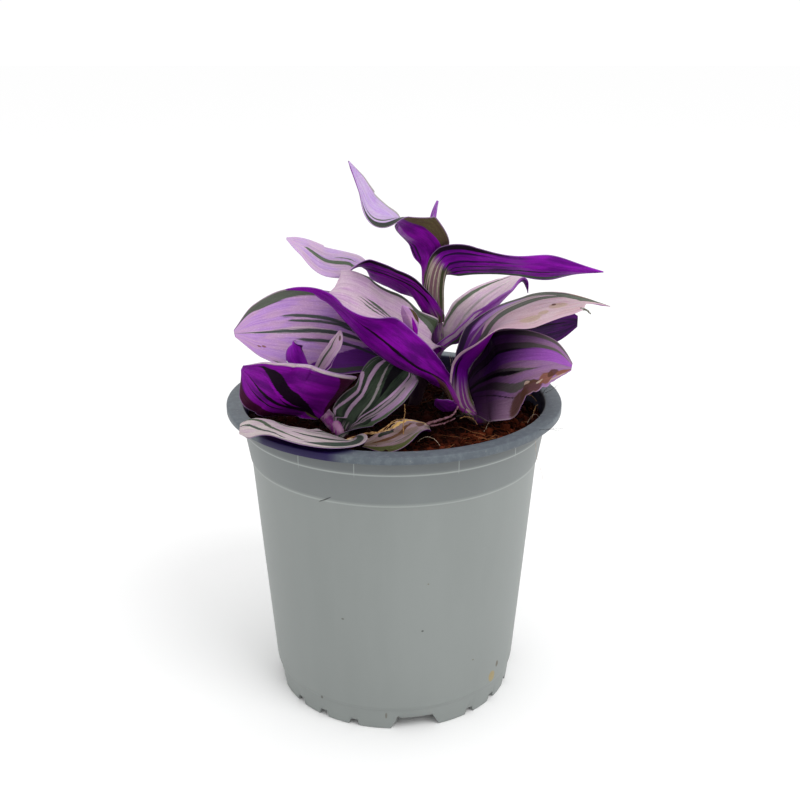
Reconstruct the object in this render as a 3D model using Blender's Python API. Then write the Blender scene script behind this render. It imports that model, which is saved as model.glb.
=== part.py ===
"""Potted tradescantia: a plastic nursery pot with coir mix, three shoots and their leaves.

Every length below is in millimetres and is turned into metres when a mesh is made.
"""

import math

import bpy
from mathutils import Matrix, Vector

MM = 0.001

# ---- pot: one moulded sheet, turned round the z axis ----
POT_HEIGHT = 110.4
RIM_R = 60.0  # outer radius of the flange
FLANGE_T = 1.5  # thickness of the flange
LIP_DROP = 1.1  # how far the flange's outer lip hangs below it
LIP_W = 1.3
COLLAR_R = 55.0  # outer radius of the collar under the flange
RING_1 = (54.2, 101.6)  # radius and height of the upper ring line
RING_2 = (51.8, 89.8)  # radius and height of the lower ring line
FOOT_LINE = (45.3, 8.9)
FOOT_R = 43.8
WALL = 1.0
FOOT_W = 1.2
FLOOR_T = 1.3
CENTRE_R = 25.4  # the floor's middle stands on the ground
GUTTER_Z = 5.2  # underside of the raised drain gutter round it
GUTTER_IN = 27.0
GUTTER_OUT = 42.4
POT_SIDES = 60

NOTCH_LARGE = (17.5, 12.5, 4.4)  # foot notch: width at the ground, width on top, height
NOTCH_SMALL = (4.0, 2.6, 2.2)
NOTCH_LARGE_AT = (-80, 10, 100, 190)  # degrees from the front, about the z axis
NOTCH_SMALL_STEP = (28.5, 44.5, 61.0)  # degrees past each large notch
DRAIN_R = 3.4
DRAIN_AT_R = 34.7
DRAINS = 8

# ---- soil ----
GAP = 0.3
SOIL_TOP = 103.3
SOIL_EDGE = 102.4
SOIL_R = 53.2

# ---- stems: x, y, z, radius; the first three points are the straight foot ----
STEMS = {
    "stem_centre": [
        (7.5, 9, 88, 2.4), (7.5, 9, 100, 2.4), (7.5, 9, 103.6, 2.4), (8.4, 8.8, 108, 2.4),
        (10.4, 8.5, 114, 2.6), (12, 8.3, 119, 2.9), (13.6, 8.2, 124, 2.5), (15, 8, 129, 3.0),
        (15.2, 7.8, 132, 2.7), (14.7, 7, 137.5, 2.4), (14.3, 6.5, 141.5, 3.0), (14, 6.2, 144, 3.0),
        (13.5, 5.6, 147.5, 2.4), (13.3, 5.2, 150.5, 2.7), (13, 4.8, 153.6, 2.7),
        (12.9, 4.6, 155.2, 2.0),
    ],
    "stem_right": [
        (31, -10.8, 88, 2.6), (31, -10.8, 99, 2.6), (31, -10.8, 102.5, 2.6),
        (30.2, -10.6, 105, 2.6), (27.6, -10, 107.5, 2.7), (24.9, -9.2, 109.8, 3.1),
        (23.4, -8.6, 112, 3.2), (22.9, -8.3, 113.8, 2.4), (22.8, -8, 115.4, 1.4),
    ],
    "stem_left": [
        (-18.8, -22.6, 88, 2.0), (-18.8, -22.6, 100, 2.0), (-18.8, -22.6, 103.8, 2.0),
        (-19.5, -21.5, 105.4, 2.1), (-22, -17.6, 107, 2.3), (-25.2, -13.5, 109.5, 2.3),
        (-28.2, -11, 112.4, 2.1), (-29.3, -10.5, 116, 2.0), (-28.8, -11.5, 119.5, 1.8),
        (-28.4, -12, 121.6, 1.4),
    ],
}
HOLE_PLAY = 0.6  # radius of a stem's hole in the soil, over the stem's own

# ---- leaves: x, y, z of the midrib, half width, roll and fold, from the stem to the tip ----
# Roll turns the blade about its midrib, and fold lifts both halves from it, in degrees. A seventh
# value is a skew: the right half is wider by that share, and the left half narrower.
LEAF_T = 0.8
LEAVES = {
    "leaf_top_left": [
        (11.8, 2.8, 155.6, 3, -55, 45), (12, 0, 164, 7.5, -20, 15), (4.5, -5.5, 170.5, 12.5, -20, 25),
        (0, -6.5, 175.5, 11, 0, 15), (-7.5, -10, 179.5, 9, 40, 5), (-11.5, -12.5, 188, 5, 50, 10),
        (-14.5, -15.5, 195.5, 0.5, 55, 10),
    ],
    "leaf_top_right": [
        (14.7, 2.2, 155.4, 2.5, 55, 50), (19.2, 0.6, 158.3, 8.5, 50, 8), (30, -1.5, 159, 11.5, 35, 5),
        (41.5, -5, 159, 11, 30, 0), (53.5, -6.5, 158, 9, 40, 5), (63, -8, 158, 4.5, 35, 10),
        (71, -10, 158, 0.5, 30, 10),
    ],
    "leaf_top_bud": [
        (12.7, 6, 156.3, 1.5, 80, 40), (12.9, 6.7, 164.7, 1.7, 80, 40), (13.5, 6.5, 170, 1.6, 80, 35),
        (14, 6.5, 175, 1.1, 80, 30), (15.2, 6.5, 179.5, 0.4, 80, 20),
    ],
    "leaf_upper_left": [
        (8.8, 4, 141.6, 3, -30, 45), (5.7, 4.2, 148.3, 8, -40, 5), (-1, 5, 152.5, 10, -35, 0),
        (-8.5, 6, 155, 10, -35, 3), (-14.5, 7.8, 158, 8.8, 17, -12), (-24, 4, 159.5, 8.5, 30, -5),
        (-31.5, 2, 164.5, 5, 30, -5), (-37, 0.5, 167.5, 0.5, 40, -5),
    ],
    "leaf_mid_left": [
        (12.1, 4.9, 130.5, 3, 20, 50), (8.4, -0.2, 134.5, 9, 35, 10), (0.5, -5.5, 141.5, 12, 30, 5),
        (-8, -10, 148, 12, 35, 0), (-14.5, -12.5, 152, 10.6, 37, -10, 0.08),
        (-18.2, -13.4, 152.8, 8.2, 34, -12, 0.14), (-20.6, -12.7, 152.2, 4.8, 32, -8, 0.05),
        (-21.6, -11, 151.4, 0.5, 30, -5, 0),
    ],
    "leaf_mid_right": [
        (19.6, 8.7, 129, 2.2, 0, 50), (23.8, 10.2, 133.1, 7.5, -10, 40),
        (29, 13.5, 135.5, 10.5, -5, 35), (36, 16.5, 142, 9.5, -10, 25), (42.5, 18, 146.5, 7, -10, 20),
        (47, 18.5, 148.5, 4, 10, 20), (49, 18, 144, 0.5, 35, 10),
    ],
    "leaf_bud_centre": [
        (7.4, -14.4, 136.7, 1.6, -40, 40), (6, -17.2, 142, 3, -40, 30),
        (4.7, -18.5, 145.3, 2.6, -40, 20), (3, -19.5, 148.7, 0.5, -40, 10),
    ],
    "leaf_far_left": [
        (7.4, 7.2, 118.8, 2.2, 20, 45), (3.4, 6.5, 122.8, 9, 40, 25), (-7, 5, 128, 12, 55, 15),
        (-21, 2, 132.5, 15, 65, 10), (-35.5, -0.5, 134.5, 15.5, 55, 10), (-48, -4, 135, 10.5, 50, 10),
        (-55.5, -7, 135.5, 1.5, 45, 5),
    ],
    "leaf_front_left": [
        (20.2, -9.7, 115.1, 3, -85, 45), (15.6, -13, 119.9, 6.5, -60, 50),
        (6.5, -18.5, 127, 9.5, -55, 40), (-3.5, -24, 136.5, 10, -50, 30),
        (-12.5, -27, 144.5, 11.5, -20, 10), (-19.5, -29, 152, 8.5, -10, 0),
        (-26.5, -31.5, 156.5, 4, -20, 10), (-34.5, -31.5, 157, 0.5, -30, 0),
    ],
    "leaf_right": [
        (22.9, -7.4, 117.1, 3, 15, 50), (26.4, -7.8, 124.3, 8.5, 0, 45),
        (31.5, -8.5, 131.5, 12, -10, 35), (36.5, -9, 140, 12.5, -5, 10),
        (46.5, -10, 145.5, 13.5, -10, -5), (58.5, -10.5, 148, 9.5, -10, -5),
        (67, -10, 147.5, 5.5, 0, 0), (74, -10, 146, 0.5, 10, -5),
    ],
    "leaf_right_back": [
        (23.9, -5, 113.2, 2.5, 30, 40), (30, 3, 118.5, 7, 45, 30), (39, 11, 125.5, 10, 50, 20),
        (50, 16, 130, 12, 60, 10), (60.5, 18, 132, 9.5, 60, 0), (68, 19, 133, 2.5, 70, 0),
    ],
    "leaf_right_low": [
        (27.4, -8.4, 113.3, 3, -40, 40), (32.7, -9, 117.1, 9.5, -55, 20), (37.5, -14, 122, 17, -55, 5),
        (46.5, -16.5, 126, 14.5, -40, 15), (54.5, -18.5, 128, 9, -40, 10),
        (60.5, -19, 127, 1.5, -45, 10),
    ],
    "leaf_right_bud": [
        (21.8, -11.9, 109.9, 2, -30, 40), (18.9, -14.6, 110, 4, -50, 30),
        (16.5, -15.5, 112, 3.5, -50, 20), (14.5, -16, 114.5, 0.5, -50, 10),
    ],
    "leaf_left_cup": [
        (-24.6, -20.8, 110.4, 9, -58, 5, -0.72), (-26.6, -24.4, 114.6, 12.3, -50, 5, -0.42),
        (-34, -27.2, 116.2, 13.8, -58, 22, -0.03), (-40, -30, 120.6, 13.3, -68, 15, 0),
        (-46.5, -29.6, 126, 9.5, -80, 0, 0), (-50.3, -27.8, 129.6, 1.5, -75, 0, 0),
    ],
    "leaf_left_bud": [
        (-29.8, -13.3, 122.7, 2.5, -55, 55), (-31.9, -15.9, 127.8, 5, -75, 45),
        (-33.5, -17.5, 132, 4, -65, 45), (-34, -17.5, 136, 1, -60, 30),
    ],
    "leaf_left_young": [
        (-26.4, -11.1, 122.2, 2.5, -45, 50), (-22.5, -11.5, 127.4, 3.5, -70, 30),
        (-19.5, -13, 133, 3, -70, 25), (-18.5, -13, 138.5, 0.5, -65, 15),
    ],
    "leaf_left_striped": [
        (-14.4, -20.2, 105.3, 2.6, -20, 45), (-13.3, -19, 108.2, 9, -30, 30),
        (-8.5, -15, 112, 9.5, -45, 35), (-3.5, -10.5, 116.5, 11.5, -40, 35),
        (2, -5.5, 121, 8.5, -35, 20), (4.5, -3, 123, 1, -40, 5),
    ],
    "leaf_left_rim": [
        (-14.5, -35, 106, 3, -10, 35), (-18.5, -44.5, 110.5, 10.5, 0, 5),
        (-27.5, -48, 113.5, 9.5, -5, -5), (-36, -46.5, 115, 8.5, -10, -5),
        (-44, -43.5, 115, 6.5, 10, -10), (-50, -41.5, 113, 2, 40, 0),
    ],
    "leaf_front_low": [
        (-10, -35, 104.5, 2, -15, 30), (-3, -35, 105, 7, -10, 10), (4, -29, 106, 8, 10, 15),
        (8.5, -21, 106, 5, -15, 10), (12, -17, 105.5, 0.5, -15, 5),
    ],
}
SMALL_LEAVES = (
    "leaf_top_bud", "leaf_bud_centre", "leaf_right_bud", "leaf_left_bud", "leaf_left_young",
)

# ---- colours, roughness ----
GREY = ((0.300, 0.318, 0.305, 1.0), 0.45)
SOIL = ((0.055, 0.018, 0.010, 1.0), 0.95)
STEM = ((0.200, 0.110, 0.150, 1.0), 0.50)
LILAC = ((0.560, 0.330, 0.570, 1.0), 0.45)
PALE = ((0.600, 0.430, 0.540, 1.0), 0.45)
VIOLET = ((0.200, 0.006, 0.340, 1.0), 0.40)
DARK_GREEN = ((0.070, 0.110, 0.080, 1.0), 0.45)
LOOKS = {
    "pot": GREY,
    "soil": SOIL,
    "stem_centre": STEM,
    "stem_right": STEM,
    "stem_left": STEM,
    "leaf_top_left": LILAC,
    "leaf_top_right": VIOLET,
    "leaf_top_bud": VIOLET,
    "leaf_upper_left": LILAC,
    "leaf_mid_left": PALE,
    "leaf_mid_right": PALE,
    "leaf_bud_centre": LILAC,
    "leaf_far_left": LILAC,
    "leaf_front_left": VIOLET,
    "leaf_right": PALE,
    "leaf_right_back": VIOLET,
    "leaf_right_low": LILAC,
    "leaf_right_bud": VIOLET,
    "leaf_left_cup": VIOLET,
    "leaf_left_bud": VIOLET,
    "leaf_left_young": PALE,
    "leaf_left_striped": DARK_GREEN,
    "leaf_left_rim": PALE,
    "leaf_front_low": PALE,
}


def material(name):
    """A Principled material of the node's own, in its colour and roughness."""
    colour, rough = LOOKS[name]
    mat = bpy.data.materials.new(name)
    mat.use_nodes = True
    shader = mat.node_tree.nodes["Principled BSDF"]
    shader.inputs["Base Color"].default_value = colour
    shader.inputs["Roughness"].default_value = rough
    shader.inputs["Metallic"].default_value = 0.0
    mat.diffuse_color = colour
    return mat


def add_object(name, data, parent=None):
    ob = bpy.data.objects.new(name, data)
    bpy.context.scene.collection.objects.link(ob)
    ob.parent = parent
    return ob


def add_mesh(name, verts, faces, parent, sharp=40):
    """A smooth-shaded mesh object from points in millimetres."""
    mesh = bpy.data.meshes.new(name)
    mesh.from_pydata([Vector(v) * MM for v in verts], [], faces)
    mesh.validate()
    ob = add_object(name, mesh, parent)
    if name in LOOKS:
        mesh.materials.append(material(name))
        mesh.shade_smooth()
        mesh.set_sharp_from_angle(angle=math.radians(sharp))
    return ob


def cutter(name, verts, faces, parent):
    ob = add_mesh(name, verts, faces, parent)
    ob.hide_render = True
    ob.display_type = "WIRE"
    return ob


def subtract(ob, tool):
    mod = ob.modifiers.new("cut_" + tool.name, "BOOLEAN")
    mod.operation = "DIFFERENCE"
    mod.solver = "EXACT"
    mod.object = tool


def turned(profile, sides):
    """Closed solid of revolution: the profile runs anticlockwise in (r, z), r = 0 only at its ends."""
    verts, faces, rings = [], [], []
    for r, z in profile:
        if r == 0:
            rings.append([len(verts)] * sides)
            verts.append((0, 0, z))
            continue
        rings.append(list(range(len(verts), len(verts) + sides)))
        for k in range(sides):
            a = 2 * math.pi * k / sides
            verts.append((r * math.cos(a), r * math.sin(a), z))
    pairs = list(zip(rings, rings[1:] + rings[:1]))
    for low, high in pairs:
        for k in range(sides):
            n = (k + 1) % sides
            loop = [low[k], low[n], high[n], high[k]]
            loop = [v for i, v in enumerate(loop) if v != loop[i - 1]]
            if len(loop) > 2:
                faces.append(loop)
    return verts, faces


def prism(base, top):
    """Closed solid between two loops of as many points each."""
    n = len(base)
    sides = [(i, (i + 1) % n, n + (i + 1) % n, n + i) for i in range(n)]
    return list(base) + list(top), sides + [tuple(range(n))[::-1], tuple(range(n, 2 * n))]


def merged(parts):
    verts, faces = [], []
    for v, f in parts:
        faces += [tuple(i + len(verts) for i in face) for face in f]
        verts += v
    return verts, faces


# ---- pot ----
def pot_profile():
    """The sheet's section, from the foot up the outside, over the flange and down the inside."""
    top, under = POT_HEIGHT, POT_HEIGHT - FLANGE_T
    (r1, z1), (r2, z2), (rf, zf) = RING_1, RING_2, FOOT_LINE
    return [
        (FOOT_R, 0), (rf - 0.7, zf - 0.8), (rf, zf), (r2, z2), (r2 + 0.5, z2 + 1.1),
        (r1, z1), (r1 + 0.7, z1 + 1), (COLLAR_R, under),
        (RIM_R - LIP_W, under), (RIM_R - LIP_W, under - LIP_DROP), (RIM_R, under - LIP_DROP),
        (RIM_R, top - 0.4), (RIM_R - 0.4, top), (COLLAR_R - 0.4, top),
        (COLLAR_R - WALL, top - 0.6), (r1 - 0.3, z1 + 1.4), (r1 - WALL, z1 + 0.3),
        (r2 - 0.5, z2 + 1.6), (r2 - WALL, z2 + 0.5), (rf - WALL, zf + 0.7),
        (GUTTER_OUT + WALL, GUTTER_Z + FLOOR_T), (GUTTER_IN - 0.8, GUTTER_Z + FLOOR_T),
        (CENTRE_R - 0.8, FLOOR_T), (0, FLOOR_T), (0, 0), (CENTRE_R, 0),
        (GUTTER_IN, GUTTER_Z), (GUTTER_OUT, GUTTER_Z), (FOOT_R - FOOT_W, 0),
    ]


def notch(shape, angle):
    """Trapezoid cutter through the foot ring, at an angle from the front."""
    wide, narrow, high = shape
    section = ((-wide / 2, -1), (wide / 2, -1), (wide / 2, 0), (narrow / 2, high),
               (-narrow / 2, high), (-wide / 2, 0))
    turn = Matrix.Rotation(math.radians(angle), 3, "Z")
    inner, outer = [[tuple(turn @ Vector((x, -r, z))) for x, z in section] for r in (41, 47)]
    return prism(inner, outer)


def drain(index):
    """Upright cylinder through the gutter's floor."""
    mid = 2 * math.pi * (index + 0.5) / DRAINS
    cx, cy = DRAIN_AT_R * math.cos(mid), DRAIN_AT_R * math.sin(mid)
    ring = [2 * math.pi * k / 12 for k in range(12)]
    loops = [[(cx + DRAIN_R * math.cos(a), cy + DRAIN_R * math.sin(a), z) for a in ring]
             for z in (GUTTER_Z - 1, GUTTER_Z + FLOOR_T + 1)]
    return prism(*loops)


def make_pot(parent):
    pot = add_mesh("pot", *turned(pot_profile(), POT_SIDES), parent)
    cuts = [notch(NOTCH_LARGE, a) for a in NOTCH_LARGE_AT]
    cuts += [notch(NOTCH_SMALL, a + s) for a in NOTCH_LARGE_AT for s in NOTCH_SMALL_STEP]
    cuts += [drain(i) for i in range(DRAINS)]
    subtract(pot, cutter("pot_cuts", *merged(cuts), parent))


# ---- soil ----
def soil_profile():
    """The mix fills the pot to a little under its rim, clear of the sheet by the gap."""
    (r1, z1), (r2, z2), (rf, zf) = RING_1, RING_2, FOOT_LINE
    side, floor = WALL + GAP, FLOOR_T + GAP
    return [
        (0, floor), (CENTRE_R - 1.2, floor), (GUTTER_IN - 1.2, GUTTER_Z + floor),
        (GUTTER_OUT + WALL - GAP, GUTTER_Z + floor), (rf - side, zf + 0.8), (r2 - side, z2 + 0.6),
        (r2 - 0.5 - GAP, z2 + 1.8), (r1 - side - 0.1, z1 + 0.2), (SOIL_R, SOIL_EDGE),
        (SOIL_R - 2.5, SOIL_TOP - 0.3), (38, SOIL_TOP), (24, SOIL_TOP - 0.3),
        (11, SOIL_TOP), (0, SOIL_TOP + 0.2),
    ]


def stem_hole(points):
    """Plain round hole for a stem's straight foot, with a little play."""
    x, y, z, r = points[0]
    ring = [2 * math.pi * k / 12 for k in range(12)]
    loops = [[(x + (r + HOLE_PLAY) * math.cos(a), y + (r + HOLE_PLAY) * math.sin(a), h)
              for a in ring] for h in (z - GAP, SOIL_TOP + 2)]
    return prism(*loops)


def make_soil(parent):
    soil = add_mesh("soil", *turned(soil_profile(), POT_SIDES), parent)
    holes = [stem_hole(points) for points in STEMS.values()]
    subtract(soil, cutter("soil_cuts", *merged(holes), parent))


# ---- curves through stations ----
def slopes(knots, values, even):
    """Slopes of a smooth curve through the values; an even one never runs past them."""
    steps = [(b - a) / (v - u) for a, b, u, v in zip(values, values[1:], knots, knots[1:])]
    out = [steps[0]]
    for i in range(1, len(steps)):
        a, b = steps[i - 1], steps[i]
        if even:
            out.append(2 * a * b / (a + b) if a * b > 0 else 0.0)
        else:
            h0, h1 = knots[i] - knots[i - 1], knots[i + 1] - knots[i]
            out.append((a * h1 + b * h0) / (h0 + h1))
    out.append(steps[-1])
    if not even and len(steps) > 1:
        out[0], out[-1] = 2 * steps[0] - out[1], 2 * steps[-1] - out[-2]
    return out


def read_curve(knots, values, even, t):
    i = max(k for k in range(len(knots) - 1) if knots[k] <= t or k == 0)
    m = slopes(knots, values, even)
    h = knots[i + 1] - knots[i]
    u = (t - knots[i]) / h
    return ((2 * u**3 - 3 * u**2 + 1) * values[i] + (u**3 - 2 * u**2 + u) * h * m[i]
            + (3 * u**2 - 2 * u**3) * values[i + 1] + (u**3 - u**2) * h * m[i + 1])


def knots_of(rows):
    """Share of the whole length reached at each station."""
    total = [0.0]
    for a, b in zip(rows, rows[1:]):
        total.append(total[-1] + (Vector(b[:3]) - Vector(a[:3])).length)
    return [d / total[-1] for d in total]


def read_point(knots, rows, t):
    return Vector([read_curve(knots, [r[i] for r in rows], False, t) for i in range(3)])


# ---- stems ----
def make_stem(name, parent):
    """Curve object with a round bevel, thicker where a leaf's sheath wraps it."""
    rows = STEMS[name]
    knots = knots_of(rows)
    shares = [a + (b - a) * k / 3 for a, b in zip(knots, knots[1:]) for k in range(3)] + [1.0]
    curve = bpy.data.curves.new(name, "CURVE")
    curve.dimensions = "3D"
    curve.bevel_depth = MM
    curve.bevel_resolution = 3
    curve.use_fill_caps = True
    spline = curve.splines.new("POLY")
    spline.points.add(len(shares) - 1)
    for i, t in enumerate(shares):
        spline.points[i].co = (*(read_point(knots, rows, t) * MM), 1)
        spline.points[i].radius = read_curve(knots, [r[3] for r in rows], True, t)
    curve.materials.append(material(name))
    add_object(name, curve, parent)


# ---- leaves ----
def leaf_frame(knots, rows, t):
    """Midrib point, side and upper-face directions, half width, fold and skew at a share."""
    step = 0.001
    along = read_point(knots, rows, min(t + step, 1)) - read_point(knots, rows, max(t - step, 0))
    along.normalize()
    side = along.cross(Vector((0, 0, 1))).normalized()
    face = side.cross(along)
    table = [(*r, 0) if len(r) == 6 else r for r in rows]
    width, roll, fold, skew = [read_curve(knots, [r[i] for r in table], True, t)
                               for i in (3, 4, 5, 6)]
    roll, fold = math.radians(roll), math.radians(fold)
    across = side * math.cos(roll) + face * math.sin(roll)
    upper = face * math.cos(roll) - side * math.sin(roll)
    return read_point(knots, rows, t), across, upper, width, fold, skew


def leaf_grid(rows, along, across):
    """Middle surface of the blade as rows of points, stem to tip."""
    knots = knots_of(rows)
    grid = []
    for i in range(along + 1):
        mid, side, upper, width, fold, skew = leaf_frame(knots, rows, (i / along) ** 0.9)
        line = []
        for j in range(across + 1):
            v = 2 * j / across - 1
            half = width * (1 + (skew if v > 0 else -skew))
            line.append(mid + side * (v * half * math.cos(fold))
                        + upper * (abs(v) ** 1.5 * half * math.sin(fold)))
        grid.append(line)
    return grid


def grid_normals(grid):
    """Unit normals of the surface, towards the leaf's upper face."""
    rows, cols = len(grid), len(grid[0])
    out = []
    for i in range(rows):
        line = []
        for j in range(cols):
            du = grid[min(i + 1, rows - 1)][j] - grid[max(i - 1, 0)][j]
            dv = grid[i][min(j + 1, cols - 1)] - grid[i][max(j - 1, 0)]
            line.append(dv.cross(du).normalized())
        out.append(line)
    return out


def make_leaf(name, parent):
    """Thin closed blade; both faces are split into triangles along the same diagonals."""
    along, across = (7, 4) if name in SMALL_LEAVES else (12, 6)
    grid = leaf_grid(LEAVES[name], along, across)
    normals = grid_normals(grid)
    cols = across + 1
    count = (along + 1) * cols
    verts = []
    for shift in (LEAF_T / 2, -LEAF_T / 2):
        verts += [p + n * shift for line, ns in zip(grid, normals) for p, n in zip(line, ns)]
    faces = []
    for i in range(along):
        for j in range(across):
            a, b = i * cols + j, (i + 1) * cols + j
            c, d = b + 1, a + 1
            faces += [(a, c, b), (a, d, c)]
            faces += [(a + count, b + count, c + count), (a + count, c + count, d + count)]
    rim = list(range(cols)) + [(i + 1) * cols + across for i in range(along)]
    rim += [along * cols + j for j in range(across - 1, -1, -1)]
    rim += [i * cols for i in range(along - 1, 0, -1)]
    for a, b in zip(rim, rim[1:] + rim[:1]):
        faces += [(a, b + count, b), (a, a + count, b + count)]
    add_mesh(name, verts, faces, parent, sharp=60)


def build():
    for ob in list(bpy.data.objects):
        bpy.data.objects.remove(ob, do_unlink=True)
    root = add_object("potted_tradescantia", None)
    make_pot(root)
    make_soil(root)
    for name in STEMS:
        make_stem(name, root)
    for name in LEAVES:
        make_leaf(name, root)


build()
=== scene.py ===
"""Potted tradescantia: the finished look of the plant, its soil and its nursery pot.

Lengths are in millimetres until a mesh is made. The plant is seen from the -Y side.
"""

import math

import bpy
import numpy as np
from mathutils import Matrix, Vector


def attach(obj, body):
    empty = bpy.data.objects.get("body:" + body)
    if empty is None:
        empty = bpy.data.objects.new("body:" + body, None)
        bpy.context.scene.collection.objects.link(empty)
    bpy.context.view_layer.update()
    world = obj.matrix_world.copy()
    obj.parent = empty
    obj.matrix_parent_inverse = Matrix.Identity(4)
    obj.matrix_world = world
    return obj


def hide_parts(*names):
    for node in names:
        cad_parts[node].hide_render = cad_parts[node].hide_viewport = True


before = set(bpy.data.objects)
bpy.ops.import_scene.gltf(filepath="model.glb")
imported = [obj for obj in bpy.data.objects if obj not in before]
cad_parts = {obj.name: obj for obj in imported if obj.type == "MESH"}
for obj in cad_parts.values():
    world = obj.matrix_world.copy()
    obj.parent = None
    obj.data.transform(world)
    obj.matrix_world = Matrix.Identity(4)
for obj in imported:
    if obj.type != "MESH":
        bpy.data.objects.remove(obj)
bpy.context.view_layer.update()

MM = 0.001
RNG = np.random.default_rng(12)


def srgb(r, g, b):
    """Linear colour from 0-255 display values."""
    out = [c / 255 / 12.92 if c <= 10.3 else ((c / 255 + 0.055) / 1.055) ** 2.4 for c in (r, g, b)]
    return (*out, 1.0)


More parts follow.
